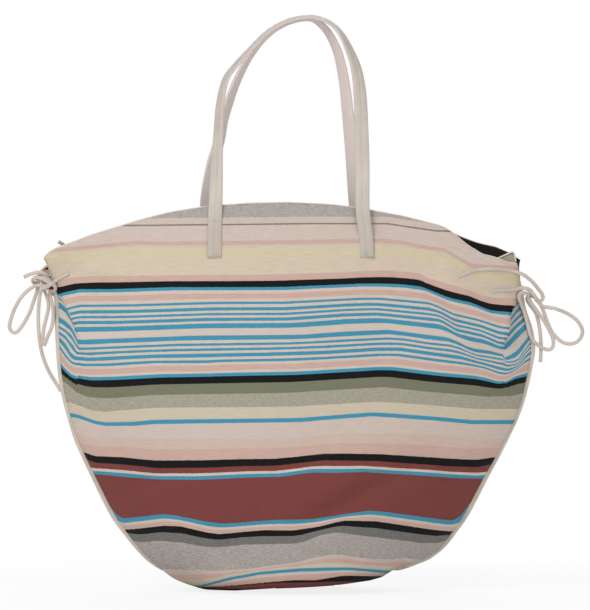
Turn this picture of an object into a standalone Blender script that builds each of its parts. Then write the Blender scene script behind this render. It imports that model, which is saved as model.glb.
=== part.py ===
"""Beach bag: a large soft tote of striped woven cotton, stuffed to its full shape.

One strip of cloth runs down the front, under the base and up the back, so its three
stretches meet edge to edge. The side seams lie in the plane y = 0 under folded leather
bindings and stop at the tie level; above it the front and the back part into a vent whose
corners are drawn together by leather laces tied in a bow. Two leather straps are sewn to
the outside of the mouth, and each loop swings about the top stitch line of its two tabs.

Metres, +Z up, the front faces -Y, and the origin is the middle of the base on the ground.
"""

from math import asin, cos, pi, radians, sin

import bmesh
import bpy
from mathutils import Matrix, Vector

# ---- Body -----------------------------------------------------------------------------
BODY_WIDTH = 0.546  # seam to seam at the tie level
BODY_HEIGHT = 0.445  # ground to the mouth's edge at the middle
BASE_LENGTH = 0.208  # between the lower ends of the side seams
BASE_DEPTH = 0.120
BELLY_DEPTH = 0.194  # front to back at the fullest height
MOUTH_DEPTH = 0.094  # front to back at the middle of the mouth
VENT_SPREAD = 0.024  # between the mouth's front and back corners
CLOTH = 0.0013  # striped cotton
LINING = 0.0005  # black lining cloth
CLEARANCE = 0.0003  # between pieces that touch

# ---- Bindings -------------------------------------------------------------------------
SEAM_ALLOWANCE = 0.008  # cloth that lies flat beside a side seam
BINDING_COVER = 0.006  # how far the folded leather reaches over the cloth
BINDING_WALL = 0.0009
TRIM_COVER = 0.0016
TRIM_WALL = 0.0005

# ---- Straps ---------------------------------------------------------------------------
STRAP_WIDTH = 0.016
STRAP_THICKNESS = 0.0034
STRAP_EDGE = 0.0007  # rounding of the folded edges
GROOVE_WIDTH = 0.0018  # where the two folded edges meet
GROOVE_DEPTH = 0.0006
HANDLE_SPREAD = 0.172  # between the middles of a strap's two legs
HANDLE_RISE = 0.232  # top stitch line to the middle of the strap at its apex
SEAM_DROP = 0.020  # top stitch line below the mouth's edge
TAB_LENGTH = 0.043
APEX_GAP = 0.0026  # between the two straps where they lean together
APEX_TWIST = radians(72)  # the strap rolls towards the flat at its apex

# ---- Laces ----------------------------------------------------------------------------
LACE_DIAMETER = 0.0034
LACE_WIDTH = 0.0050  # of the flat sewn end
LACE_THICKNESS = 0.0022
SEWN_LENGTH = 0.013
KNOT_RADII = Vector((0.0070, 0.0060, 0.0072))
KNOT_OUTSET = 0.0115  # knot's middle outside the side seam

# ---- Fineness -------------------------------------------------------------------------
COLUMNS = 20
STRAP_RINGS = 42
LACE_STEP = 0.0085

FRONT, BACK = -1, 1
LEFT, RIGHT = -1, 1
EDGE = 1.1  # column of the cloth's side edge; the seam allowance starts at column 1
LINED = 0.93  # column where the lining's side seam runs
SEAM_HALF = CLEARANCE / 2 + CLOTH  # from the seam's plane to the cloth's outer face
STACK = CLOTH + CLEARANCE + LINING  # cloth with its lining, at the mouth

# Sections from the ground to the mouth. Seam: share of the way from the base's end to the
# full width, and share of the height. Middle: share of the way from the end depth (base or
# mouth) to the belly's, and share of the height.
SECTIONS = [
    (0.000, 0.0034, 0.00, 0.0000),
    (0.095, 0.0247, 0.43, 0.0045),
    (0.235, 0.0560, 0.76, 0.0247),
    (0.385, 0.0920, 0.92, 0.0674),
    (0.525, 0.1460, 0.99, 0.1390),
    (0.665, 0.2360, 1.00, 0.2470),
    (0.812, 0.3480, 0.95, 0.3710),
    (0.926, 0.4520, 0.83, 0.5060),
    (0.981, 0.5660, 0.66, 0.6400),
    (0.998, 0.6720, 0.46, 0.7750),
    (1.000, 0.7750, 0.24, 0.8940),
    (1.018, 0.8160, 0.11, 0.9480),
    (1.041, 0.8560, 0.00, 1.0000),
]
ROW_SWEEP = 2.4  # how late a row turns up towards the seam
BELLY_SECTION = 5
TIE_SECTION = 10
MOUTH_SECTION = len(SECTIONS) - 1


def clear_scene():
    for item in list(bpy.data.objects):
        bpy.data.objects.remove(item, do_unlink=True)


def leather_or_cloth(name, colour, roughness):
    material = bpy.data.materials.new(name)
    material.use_nodes = True
    shader = material.node_tree.nodes["Principled BSDF"]
    shader.inputs["Base Color"].default_value = (*colour, 1.0)
    shader.inputs["Roughness"].default_value = roughness
    shader.inputs["Metallic"].default_value = 0.0
    return material


def smooth_step(share):
    share = min(max(share, 0.0), 1.0)
    return share * share * (3 - 2 * share)


def through(points, place):
    """Catmull-Rom curve through tuples, read at a fractional index."""
    index = min(int(place), len(points) - 2)
    share = place - index
    before = points[max(index - 1, 0)]
    start, end = points[index], points[index + 1]
    after = points[min(index + 2, len(points) - 1)]
    return tuple(
        0.5
        * (
            2 * b
            + (c - a) * share
            + (2 * a - 5 * b + 4 * c - d) * share**2
            + (3 * b - a - 3 * c + d) * share**3
        )
        for a, b, c, d in zip(before, start, end, after)
    )


# ---- The bag's outer surface ----------------------------------------------------------
def section(row):
    """Seam edge (x, z), middle (depth, z) and the vent's half opening at a row."""
    outward, edge_z, fullness, middle_z = through(SECTIONS, row)
    edge_x = BASE_LENGTH / 2 + (BODY_WIDTH - BASE_LENGTH) / 2 * outward
    end_depth = BASE_DEPTH if row < BELLY_SECTION else MOUTH_DEPTH
    depth = (end_depth + (BELLY_DEPTH - end_depth) * fullness) / 2
    above_tie = max(row - TIE_SECTION, 0.0) / (MOUTH_SECTION - TIE_SECTION)
    vent = (VENT_SPREAD / 2 - SEAM_HALF) * above_tie**1.2
    return edge_x, edge_z * BODY_HEIGHT, depth, middle_z * BODY_HEIGHT, vent


def allowance(row):
    """Seam allowance measured along x, so that it keeps its width square to the seam."""
    step = 0.05
    edge_x, edge_z, _, middle_z, _ = section(row)
    low, high = section(max(row - step, 0.0)), section(min(row + step, MOUTH_SECTION))
    run, rise = high[0] - low[0], high[1] - low[1]
    along_row = ROW_SWEEP * (edge_z - middle_z) / edge_x
    square = (rise - run * along_row) / (run * run + rise * rise) ** 0.5
    return SEAM_ALLOWANCE / max(square, 0.3)


def surface(column, row, side):
    """Point of the cloth's outer face. Columns run from -EDGE at the left seam to EDGE."""
    edge_x, edge_z, depth, middle_z, vent = section(row)
    flat = allowance(row)
    inner = edge_x - flat
    if abs(column) <= 1:
        x = inner * sin(pi / 2 * column)
    else:
        beyond = (abs(column) - 1) / (EDGE - 1) * flat
        x = (inner + beyond) * (1 if column > 0 else -1)
    swell = cos(pi / 2 * min(abs(column), 1.0)) ** 1.5
    side_depth = SEAM_HALF + vent
    z = middle_z + (edge_z - middle_z) * abs(x / edge_x) ** ROW_SWEEP
    return Vector((x, side * (side_depth + (depth - side_depth) * swell), z))


def outward(column, row, side):
    """Unit normal of the cloth's outer face."""
    step = 0.02
    across = surface(column + step, row, side) - surface(column - step, row, side)
    high = min(row + step, MOUTH_SECTION)
    low = max(row - step, 0.0)
    up = surface(column, high, side) - surface(column, low, side)
    normal = across.cross(up).normalized()
    return normal if normal.y * side > 0 else -normal


def column_at(x, row):
    inner = section(row)[0] - allowance(row)
    if abs(x) < inner:
        return asin(x / inner) * 2 / pi
    beyond = 1 + (abs(x) - inner) / allowance(row) * (EDGE - 1)
    return min(beyond, EDGE) * (1 if x > 0 else -1)


def on_panel(x, z, lift, side):
    """Point at lift above the cloth at (x, z), found by halving the range of rows."""
    low, high = 0.0, float(MOUTH_SECTION)
    for _ in range(40):
        row = (low + high) / 2
        if surface(column_at(x, row), row, side).z < z:
            low = row
        else:
            high = row
    column = column_at(x, row)
    return surface(column, row, side) + outward(column, row, side) * lift


# ---- Mesh helpers ---------------------------------------------------------------------
def finish_mesh(name, bm, material, origin=None):
    """Make the object; its vertices are stored about its own origin."""
    bmesh.ops.recalc_face_normals(bm, faces=bm.faces)
    if bm.calc_volume(signed=True) < 0:
        bmesh.ops.reverse_faces(bm, faces=bm.faces)
    if origin is not None:
        bmesh.ops.translate(bm, verts=bm.verts, vec=-origin)
    mesh = bpy.data.meshes.new(name)
    bm.to_mesh(mesh)
    bm.free()
    mesh.materials.append(material)
    mesh.shade_smooth()
    mesh.set_sharp_from_angle(angle=radians(40))
    item = bpy.data.objects.new(name, mesh)
    if origin is not None:
        item.location = origin
    bpy.context.collection.objects.link(item)
    return item


def shell(name, points, faces, thickness, material):
    """A sheet of outer-face points made a closed body, its thickness laid inwards."""
    bm = bmesh.new()
    outer = [bm.verts.new(point) for point in points]
    for face in faces:
        bm.faces.new([outer[i] for i in face])
    bmesh.ops.recalc_face_normals(bm, faces=bm.faces)
    middle = Vector((0, 0, BODY_HEIGHT / 2))
    facing = sum((f.calc_center_median() - middle).dot(f.normal) * f.calc_area() for f in bm.faces)
    if facing < 0:
        bmesh.ops.reverse_faces(bm, faces=bm.faces)
    bm.normal_update()
    rims = [edge for edge in bm.edges if edge.is_boundary]
    depth = {v: v.normal * thickness * min(v.calc_shell_factor(), 1.4) for v in outer}
    inner = {v: bm.verts.new(v.co - depth[v]) for v in outer}
    for face in list(bm.faces):
        bm.faces.new([inner[v] for v in reversed(face.verts)])
    for edge in rims:
        a, b = edge.verts
        bm.faces.new([a, b, inner[b], inner[a]])
    return finish_mesh(name, bm, material)


def sweep(name, rings, material, origin=None):
    """A closed body through rings of matching points, capped at both ends."""
    bm = bmesh.new()
    loops = [[bm.verts.new(point) for point in ring] for ring in rings]
    count = len(loops[0])
    for lower, upper in zip(loops, loops[1:]):
        for i in range(count):
            j = (i + 1) % count
            bm.faces.new([lower[i], lower[j], upper[j], upper[i]])
    bm.faces.new(list(reversed(loops[0])))
    bm.faces.new(loops[-1])
    return finish_mesh(name, bm, material, origin)


def grid_faces(across, along):
    """Triangles of a grid whose points run along first, alike on its two halves."""
    triangles = []
    for i in range(across - 1):
        for j in range(along - 1):
            a = i * along + j
            b, c, d = a + 1, a + along + 1, a + along
            if i < (across - 1) / 2:
                triangles += [(a, b, c), (a, c, d)]
            else:
                triangles += [(a, b, d), (b, c, d)]
    return triangles


# ---- Cloth ----------------------------------------------------------------------------
def inner_columns():
    return [LINED * (2 * i / COLUMNS - 1) for i in range(COLUMNS + 1)]


def all_columns():
    return [-EDGE, -1.0, *inner_columns(), 1.0, EDGE]


def all_rows():
    """Sections and, where the cloth curves most, the rows half way between them."""
    bends = [i + 0.5 for i in (*range(8), *range(TIE_SECTION, MOUTH_SECTION))]
    return sorted([float(i) for i in range(MOUTH_SECTION + 1)] + bends)


def make_panel(name, side, material):
    columns, rows = all_columns(), all_rows()
    points = [surface(c, r, side) for c in columns for r in rows]
    return shell(name, points, grid_faces(len(columns), len(rows)), CLOTH, material)


def make_base(material):
    """The stretch of cloth under the bag: a flat lens between the panels' lower edges."""
    edge_gap = CLEARANCE * 2
    columns = [c for c in inner_columns() if abs(c) < 0.8]
    points = []
    for column in columns:
        half = abs(surface(column, 0, FRONT).y) - edge_gap
        x = surface(column, 0, FRONT).x
        points += [Vector((x, half * share, 0)) for share in (-1, -0.33, 0.33, 1)]
    return shell("base_panel", points, grid_faces(len(columns), 4), CLOTH, material)


def make_lining(material):
    """One bag of thin cloth inside the panels, split down to the tie level as they are."""
    columns, rows = inner_columns()[1:-1], all_rows()
    inset = CLOTH + CLEARANCE
    points = []
    for side in (FRONT, BACK):
        for column in columns:
            for row in rows:
                point = surface(column, row, side) - outward(column, row, side) * inset
                point.z = max(point.z, inset)
                points.append(point)
    height, width = len(rows), len(columns)
    back = width * height
    faces = grid_faces(width, height)
    faces += [tuple(i + back for i in face) for face in faces]
    for i in range(width - 1):
        a, b = i * height, (i + 1) * height
        faces.append((a, b, back + b, back + a))
    for i in (0, width - 1):
        for j in range(rows.index(TIE_SECTION)):
            a = i * height + j
            faces.append((a, a + 1, back + a + 1, back + a))
    return shell("lining", points, faces, LINING, material)


# ---- Bindings -------------------------------------------------------------------------
def channel(cover, slot_half, wall):
    """Folded strip's section: how far out past the cloth's edge, and across it."""
    out, lip = CLEARANCE, -cover
    return [
        (lip, slot_half),
        (out, slot_half),
        (out, -slot_half),
        (lip, -slot_half),
        (lip, -slot_half - wall),
        (out + wall, -slot_half - wall),
        (out + wall, slot_half + wall),
        (lip, slot_half + wall),
    ]


def fold_over(name, path, profile, material):
    """Sweep a channel along (point, normal, away) triples, mitred at corners."""
    rings = []
    for i, (point, normal, away) in enumerate(path):
        before = (point - path[max(i - 1, 0)][0]).normalized() if i else None
        after = (path[i + 1][0] - point).normalized() if i < len(path) - 1 else None
        tangent = ((before or after) + (after or before)).normalized()
        outwards = tangent.cross(normal).normalized()
        if outwards.dot(away) < 0:
            outwards = -outwards
        mitre = 1 / max(tangent.dot(after or before), 0.6)
        rings.append([point + outwards * o * mitre + normal * n for o, n in profile])
    return sweep(name, rings, material)


def make_side_binding(name, hand, material):
    """Folded leather over the side seam, from just above the ground to the tie level."""
    path = []
    for row in all_rows()[1:]:
        if row > TIE_SECTION:
            break
        edge_x, edge_z = section(row)[:2]
        path.append((Vector((hand * edge_x, 0, edge_z)), Vector((0, 1, 0)), Vector((hand, 0, 0))))
    profile = channel(BINDING_COVER, SEAM_HALF + CLEARANCE, BINDING_WALL)
    return fold_over(name, path, profile, material)


def make_mouth_binding(name, side, material):
    """Narrow edging up one vent, along the mouth and down the other vent."""
    steps = [row for row in all_rows() if TIE_SECTION < row < MOUTH_SECTION]
    places = [(-EDGE, row) for row in steps]
    places += [(column, float(MOUTH_SECTION)) for column in all_columns()]
    places += [(EDGE, row) for row in reversed(steps)]
    heart = Vector((0, 0, BODY_HEIGHT * 0.8))
    path = []
    for column, row in places:
        normal = outward(column, row, side)
        thickness = STACK if abs(column) < LINED else CLOTH
        point = surface(column, row, side) - normal * thickness / 2
        path.append((point, normal, point - heart))
    profile = channel(TRIM_COVER, STACK / 2 + CLEARANCE * 1.5, TRIM_WALL)
    return fold_over(name, path, profile, material)


# ---- Straps ---------------------------------------------------------------------------
def strap_section():
    """Folded strap: (across, height above the middle), grooved where its edges meet."""
    half, thick = STRAP_WIDTH / 2, STRAP_THICKNESS / 2
    groove = GROOVE_WIDTH / 2
    return [
        (-half, -thick + STRAP_EDGE),
        (-half + STRAP_EDGE, -thick),
        (half - STRAP_EDGE, -thick),
        (half, -thick + STRAP_EDGE),
        (half, thick - STRAP_EDGE),
        (half - STRAP_EDGE, thick),
        (groove, thick),
        (0, thick - GROOVE_DEPTH),
        (-groove, thick),
        (-half + STRAP_EDGE, thick),
        (-half, thick - STRAP_EDGE),
    ]


def seam_height():
    return BODY_HEIGHT - SEAM_DROP


def strap_face_depth(side):
    """Depth of the strap's middle at the top stitch line, clear of the cloth."""
    inner_edge = HANDLE_SPREAD / 2 - STRAP_WIDTH / 2
    lift = CLEARANCE + STRAP_THICKNESS / 2
    return on_panel(inner_edge, seam_height(), 0, side).y + side * lift


def make_tab(name, hand, side, material):
    """The strap's end, sewn flat on the outside of the cloth."""
    middle_x = hand * HANDLE_SPREAD / 2
    rings = []
    rows = 4
    for i in range(rows + 1):
        z = seam_height() - TAB_LENGTH * (1 - i / rows)
        ring = []
        for across, height in strap_section():
            lift = CLEARANCE + STRAP_THICKNESS / 2 + height
            flush = on_panel(middle_x + across, z, lift, side)
            ring.append(Vector((middle_x + across, flush.y, z)))
        rings.append(ring)
    return sweep(name, rings, material)


def strap_route(side):
    """Middle line of one strap's right half, from the stitch line to the apex."""
    start_y = strap_face_depth(side)
    roll_half = STRAP_WIDTH / 2 * sin(APEX_TWIST) + STRAP_THICKNESS / 2 * cos(APEX_TWIST)
    apex_y = side * (APEX_GAP / 2 + roll_half)
    shape = [
        (1.000, 0.000),
        (0.995, 0.080),
        (0.970, 0.330),
        (0.930, 0.580),
        (0.850, 0.760),
        (0.630, 0.900),
        (0.320, 0.978),
        (0.000, 1.000),
    ]
    route = []
    for out, up in shape:
        lean = max(up - 0.08, 0.0) / 0.92
        route.append((
            out * HANDLE_SPREAD / 2,
            start_y + (apex_y - start_y) * lean**1.25,
            seam_height() + CLEARANCE + up * (HANDLE_RISE - CLEARANCE),
        ))
    mirrored = [(-x, y, z) for x, y, z in route[:-1]]
    return mirrored + list(reversed(route))


def make_handle(name, side, material):
    """One loop of strap. It rolls from facing out at its legs to nearly flat on top."""
    route = strap_route(side)
    last = len(route) - 1
    rings = []
    for i in range(STRAP_RINGS + 1):
        place = last * i / STRAP_RINGS
        point = Vector(through(route, place))
        ahead = Vector(through(route, min(place + 0.03, last)))
        behind = Vector(through(route, max(place - 0.03, 0)))
        tangent = (ahead - behind).normalized()
        if i in (0, STRAP_RINGS):
            tangent = Vector((0, 0, 1 if i == 0 else -1))
        face = Vector((0, side, 0))
        face = (face - tangent * face.dot(tangent)).normalized()
        out_of_loop = tangent.cross(face)
        if out_of_loop.dot(point - Vector((0, point.y, seam_height()))) < 0:
            out_of_loop = -out_of_loop
        climb = (point.z - seam_height()) / HANDLE_RISE
        roll = APEX_TWIST * smooth_step((climb - 0.42) / 0.58)
        face = face * cos(roll) + out_of_loop * sin(roll)
        across = face.cross(tangent) * side
        rings.append([point + across * a + face * h for a, h in strap_section()])
    tab_top = [
        on_panel(HANDLE_SPREAD / 2 - STRAP_WIDTH / 2, seam_height(), CLEARANCE + STRAP_THICKNESS, side).y,
        rings[0][5].y,
    ]
    hinge_y = side * (max(abs(y) for y in tab_top) + CLEARANCE / 3)
    hinge = Vector((0, hinge_y, seam_height() + CLEARANCE / 2))
    return sweep(name, rings, material, origin=hinge)


# ---- Laces ----------------------------------------------------------------------------
def knot_middle(hand):
    drop = 0.0 if hand == LEFT else 0.0135  # the right bow is tied a little lower
    edge_x, edge_z = section(TIE_SECTION)[:2]
    outset = KNOT_OUTSET if hand == LEFT else KNOT_OUTSET - 0.001
    return Vector((hand * (edge_x + outset), -0.004, edge_z + 0.0075 - drop))


def sewn_end(hand):
    """Where a lace's flat end is sewn: its far and near ends, as (x, z) on the cloth."""
    edge_x, edge_z = section(TIE_SECTION)[:2]
    inset, rise = (0.022, 0.0195) if hand == LEFT else (0.041, -0.002)
    fall = 0.15 if hand == LEFT else -0.12
    far = (hand * (edge_x - inset), edge_z + rise)
    near = (far[0] + hand * SEWN_LENGTH, far[1] - fall * SEWN_LENGTH)
    return far, near


def make_sewn_end(name, hand, side, material):
    far, near = sewn_end(hand)
    rings = []
    for i in range(4):
        share = i / 3
        x = far[0] + (near[0] - far[0]) * share
        z = far[1] + (near[1] - far[1]) * share
        ring = []
        for rise, lift in ((-0.5, 0), (-0.5, 1), (0.5, 1), (0.5, 0)):
            height = z + rise * LACE_WIDTH
            ring.append(on_panel(x, height, CLEARANCE * 2 + lift * LACE_THICKNESS, side))
        rings.append(ring)
    return sweep(name, rings, material)


def evenly(points, step):
    """Points a step apart along the curve through the route's own points."""
    fine = [Vector(through(points, i / 20)) for i in range(20 * (len(points) - 1) + 1)]
    length = sum((b - a).length for a, b in zip(fine, fine[1:]))
    count = max(round(length / step), 3)
    even, run, target = [fine[0]], 0.0, length / count
    for a, b in zip(fine, fine[1:]):
        run += (b - a).length
        if run >= target * len(even) and len(even) < count:
            even.append(b)
    return even + [fine[-1]]


def make_tube(name, points, material):
    curve = bpy.data.curves.new(name, "CURVE")
    curve.dimensions = "3D"
    curve.bevel_depth = LACE_DIAMETER / 2
    curve.bevel_resolution = 2
    curve.use_fill_caps = True
    places = evenly([tuple(p) for p in points], LACE_STEP)
    spline = curve.splines.new("POLY")
    spline.points.add(len(places) - 1)
    for item, place in zip(spline.points, places):
        item.co = (*place, 1)
    curve.materials.append(material)
    item = bpy.data.objects.new(name, curve)
    bpy.context.collection.objects.link(item)
    return item


def leave_knot(middle, towards):
    """Point just off the knot's surface, on the way to a route's first point."""
    way = (towards - middle).normalized()
    scaled = Vector([way[i] / KNOT_RADII[i] for i in range(3)])
    return middle + way * (1 / scaled.length + CLEARANCE * 2)


def from_knot(hand, offsets):
    """Route points given in millimetres from the knot's middle: out, back and up."""
    middle = knot_middle(hand)
    return [middle + Vector((hand * x, y, z)) / 1000 for x, y, z in offsets]


def make_knot(name, hand, material):
    """The wraps of the bow, drawn up tight: a barrel with a waist between its turns."""
    bm = bmesh.new()
    bmesh.ops.create_uvsphere(bm, u_segments=14, v_segments=9, radius=1.0)
    bmesh.ops.rotate(bm, verts=bm.verts, cent=(0, 0, 0), matrix=Matrix.Rotation(pi / 2, 3, "Y"))
    for vert in bm.verts:
        waist = 1 - 0.10 * (1 - min(abs(vert.co.x) / 0.45, 1.0)) ** 2
        vert.co = Vector((vert.co.x, vert.co.y * waist, vert.co.z * waist))
        vert.co = Vector([vert.co[i] * KNOT_RADII[i] for i in range(3)]) + knot_middle(hand)
    return finish_mesh(name, bm, material)


def lead(hand, side):
    """A lace's short way from its sewn end to the knot."""
    lift = CLEARANCE * 2 + LACE_DIAMETER / 2
    far, near = sewn_end(hand)
    run = Vector((near[0] - far[0], 0, near[1] - far[1])).normalized()
    start = on_panel(*near, lift, side) + run * LACE_DIAMETER * 0.5
    middle = knot_middle(hand)
    edge_x = section(TIE_SECTION)[0]
    beside = Vector((hand * (edge_x - 0.004), side * 0.0125, start.z * 0.55 + middle.z * 0.45))
    turn = middle + Vector((-hand * 0.0065, side * (KNOT_RADII.y + 0.005), 0.002))
    return [start, start.lerp(beside, 0.5), beside, turn, leave_knot(middle, turn)]


# Loops and tails, as millimetres from the knot's middle: out from the bag, back and up.
LEFT_BOW = {
    "left_outer_loop": [
        (23, 0, -15), (33, 0, -29), (36.5, 1, -46), (30, 1, -57),
        (19, 0, -46), (10.5, -1, -30),
    ],
    "left_lower_loop": [
        (-8, -5, -14), (-12.5, -6, -24), (-14.5, -6, -35), (-12.5, -6, -51), (-4.5, -6, -66),
        (-1.5, -5, -71), (0, -4.5, -66), (-1.5, -4, -53), (-5, -4, -38), (-4.2, -3, -22),
    ],
    "left_short_tail": [(-3, -5.5, 9.5), (1, -6, 13), (9, -6, 12), (20, -5, 6)],
    "left_long_tail": [
        (1, 6, -15), (1.5, 7, -30), (3, 8, -54), (0.5, 9, -75), (-7, 13, -99),
        (-20, 17, -119), (-23, 18, -124),
    ],
}
RIGHT_BOW = {
    "right_outer_loop": [
        (14, 2, -8), (29, 0, -19), (45, 0, -28), (54, 0, -40), (51, 0, -52), (39.5, 0, -56),
        (27, 0, -51.5), (16, 0, -37), (9.5, 0, -22),
    ],
    "right_lower_loop": [
        (-9, -5, -12), (-12, -5, -24), (-10, -5, -34), (-5, -5, -46), (3, -5, -54),
        (14, -5, -62), (20.5, -6, -58.5), (16, -7, -44), (6, -7, -29), (-1, -6, -18),
    ],
    "right_short_tail": [(1, 7, -14), (2, 8, -22), (5, 8, -35), (7, 8, -56), (7, 8, -77)],
}
RIGHT_LONG_TAIL = [(7, -8, 6), (-3, -9.5, 14), (-15, -10, 22)]
LAID_TAIL = [(-0.001, 0.0285), (0.018, 0.0315), (0.040, 0.0305), (0.062, 0.0235)]


def make_bow(routes, hand, material):
    middle = knot_middle(hand)
    for name, offsets in routes.items():
        route = from_knot(hand, offsets)
        points = [leave_knot(middle, route[0]), *route]
        if name.endswith("loop"):
            points.append(leave_knot(middle, route[-1]))
        make_tube(name, points, material)


def make_long_right_tail(material):
    """The tail that is thrown over the front panel and lies on it."""
    middle = knot_middle(RIGHT)
    route = from_knot(RIGHT, RIGHT_LONG_TAIL)
    edge_x = section(TIE_SECTION)[0]
    lift = CLEARANCE + LACE_DIAMETER / 2 + 0.0006
    for inset, rise in LAID_TAIL:
        x = edge_x - 0.019 - inset
        route.append(on_panel(x, middle.z + rise, lift, FRONT))
    make_tube("right_long_tail", [leave_knot(middle, route[0]), *route], material)


def build():
    clear_scene()
    stripe = leather_or_cloth("striped_cotton", (0.55, 0.46, 0.38), 0.9)
    black = leather_or_cloth("lining_cloth", (0.012, 0.012, 0.013), 0.85)
    pale = leather_or_cloth("pale_leather", (0.62, 0.55, 0.48), 0.55)
    edging = leather_or_cloth("cotton_edging", (0.66, 0.53, 0.47), 0.85)

    make_panel("front_panel", FRONT, stripe)
    make_panel("back_panel", BACK, stripe)
    make_base(stripe)
    make_lining(black)
    make_mouth_binding("front_mouth_binding", FRONT, edging)
    make_mouth_binding("back_mouth_binding", BACK, edging)
    for hand_name, hand in (("left", LEFT), ("right", RIGHT)):
        make_side_binding(f"{hand_name}_side_binding", hand, pale)
        make_knot(f"{hand_name}_bow_knot", hand, pale)
        for side_name, side in (("front", FRONT), ("back", BACK)):
            make_tab(f"{side_name}_{hand_name}_handle_tab", hand, side, pale)
            make_sewn_end(f"{side_name}_{hand_name}_lace_end", hand, side, pale)
            make_tube(f"{hand_name}_{side_name}_lace", lead(hand, side), pale)
    make_handle("front_handle", FRONT, pale)
    make_handle("back_handle", BACK, pale)
    make_bow(LEFT_BOW, LEFT, pale)
    make_bow(RIGHT_BOW, RIGHT, pale)
    make_long_right_tail(pale)


build()
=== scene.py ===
"""Looks of a large soft tote: one strip of striped cotton with bound side seams, a black
lining, two long leather handles and leather laces tied in a bow at each side.

Lengths are in metres. Places measured on the photograph are given as dots of its 590 x 610
frame, and spot() turns them into points of the bag."""

import math

import bmesh
import bpy
import numpy as np
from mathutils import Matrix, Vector
from mathutils.bvhtree import BVHTree


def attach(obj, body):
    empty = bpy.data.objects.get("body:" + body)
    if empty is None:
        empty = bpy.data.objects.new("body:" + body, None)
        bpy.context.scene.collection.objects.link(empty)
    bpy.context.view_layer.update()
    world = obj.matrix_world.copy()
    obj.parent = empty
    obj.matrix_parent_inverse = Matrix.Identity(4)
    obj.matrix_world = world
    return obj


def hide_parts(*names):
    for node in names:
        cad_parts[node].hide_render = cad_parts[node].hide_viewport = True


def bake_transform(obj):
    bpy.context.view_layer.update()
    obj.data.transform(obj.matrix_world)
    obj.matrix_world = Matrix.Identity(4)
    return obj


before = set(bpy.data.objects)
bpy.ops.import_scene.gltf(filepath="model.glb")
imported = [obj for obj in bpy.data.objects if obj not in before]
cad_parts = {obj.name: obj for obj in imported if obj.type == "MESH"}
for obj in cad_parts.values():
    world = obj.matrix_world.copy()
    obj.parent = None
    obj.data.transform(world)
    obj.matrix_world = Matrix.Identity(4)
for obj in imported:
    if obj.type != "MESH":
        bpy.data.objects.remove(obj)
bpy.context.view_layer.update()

# ---- Camera --------------------------------------------------------------------------
DOT = 0.00115  # what one dot of the photograph covers in the plane of the side seams
DOTS_WIDE, DOTS_HIGH = 590, 610
EYE_AWAY = 5.0
EYE_X, EYE_Z = 0.008, 0.328

camera_data = bpy.data.cameras.new("camera")
camera_data.sensor_fit = "VERTICAL"
camera_data.sensor_height = 24.0
camera_data.lens = 24.0 * EYE_AWAY / (DOTS_HIGH * DOT)
camera_data.clip_end = 50.0
camera = bpy.data.objects.new("camera", camera_data)
camera.location = (EYE_X, -EYE_AWAY, EYE_Z)
camera.rotation_euler = (math.radians(90), 0, 0)
bpy.context.scene.collection.objects.link(camera)
bpy.context.scene.camera = camera


def spot(across, down, y=0.0):
    """The point seen at a dot of the photograph, at depth y."""
    reach = DOT * (EYE_AWAY + y) / EYE_AWAY
    x = EYE_X + (across - DOTS_WIDE / 2) * reach
    return Vector((x, y, EYE_Z + (DOTS_HIGH / 2 - down) * reach))


def dots(x, y, z):
    """The dot at which a point is seen: spot() the other way round, on arrays."""
    reach = DOT * (EYE_AWAY + y) / EYE_AWAY
    return DOTS_WIDE / 2 + (x - EYE_X) / reach, DOTS_HIGH / 2 - (z - EYE_Z) / reach


# ---- Materials -----------------------------------------------------------------------
def colour(code):
    """An sRGB hex value as linear RGBA."""
    parts = [int(code[i : i + 2], 16) / 255 for i in (0, 2, 4)]
    return [c / 12.92 if c <= 0.04045 else ((c + 0.055) / 1.055) ** 2.4 for c in parts] + [1.0]


def new_material(name):
    made = bpy.data.materials.new(name)
    made.use_nodes = True
    return made, made.node_tree.nodes["Principled BSDF"]


def feed(made, node, inputs):
    """Set a node's inputs, each to a value or to the socket that it is linked to."""
    for key, value in inputs.items():
        if isinstance(value, bpy.types.NodeSocket):
            made.node_tree.links.new(value, node.inputs[key])
        else:
            node.inputs[key].default_value = value


def add(made, kind, inputs=None, **settings):
    """Add a shader node with its own settings and inputs."""
    fresh = made.node_tree.nodes.new("ShaderNode" + kind)
    for key, value in settings.items():
        setattr(fresh, key, value)
    feed(made, fresh, inputs or {})
    return fresh


def calc(made, operation, *values):
    """The result of a sum done on numbers or sockets."""
    return add(made, "Math", dict(enumerate(values)), operation=operation).outputs[0]


def ranged(made, value, low, high, least=0.0, most=1.0, **settings):
    """A value that goes from least to most while the given one goes from low to high."""
    inputs = {"Value": value, "From Min": low, "From Max": high, "To Min": least, "To Max": most}
    return add(made, "MapRange", inputs, **settings).outputs[0]


def mixed(made, share, first, second, **settings):
    """Two colours mixed: share 0 gives the first, 1 the second."""
    inputs = {0: share, 6: first, 7: second}
    return add(made, "Mix", inputs, data_type="RGBA", **settings).outputs[2]


def noise(made, place, scale, detail, roughness=0.5):
    """Noise at a place; three scales in place of one stretch it."""
    if isinstance(scale, tuple):
        place = add(made, "Mapping", {"Vector": place, "Scale": scale}).outputs["Vector"]
        scale = 1.0
    inputs = {"Vector": place, "Scale": scale, "Detail": detail, "Roughness": roughness}
    return add(made, "TexNoise", inputs).outputs["Fac"]


def bumps(made, height, strength, distance):
    inputs = {"Height": height, "Strength": strength, "Distance": distance}
    return add(made, "Bump", inputs).outputs[0]


def ramp_stops(ramp, stops):
    """Set a colour ramp's stops, as (place, RGBA)."""
    elements = ramp.color_ramp.elements
    while len(elements) > 1:
        elements.remove(elements[-1])
    for i, (place, value) in enumerate(stops):
        stop = elements[0] if i == 0 else elements.new(place)
        stop.position = place
        stop.color = value


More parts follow.
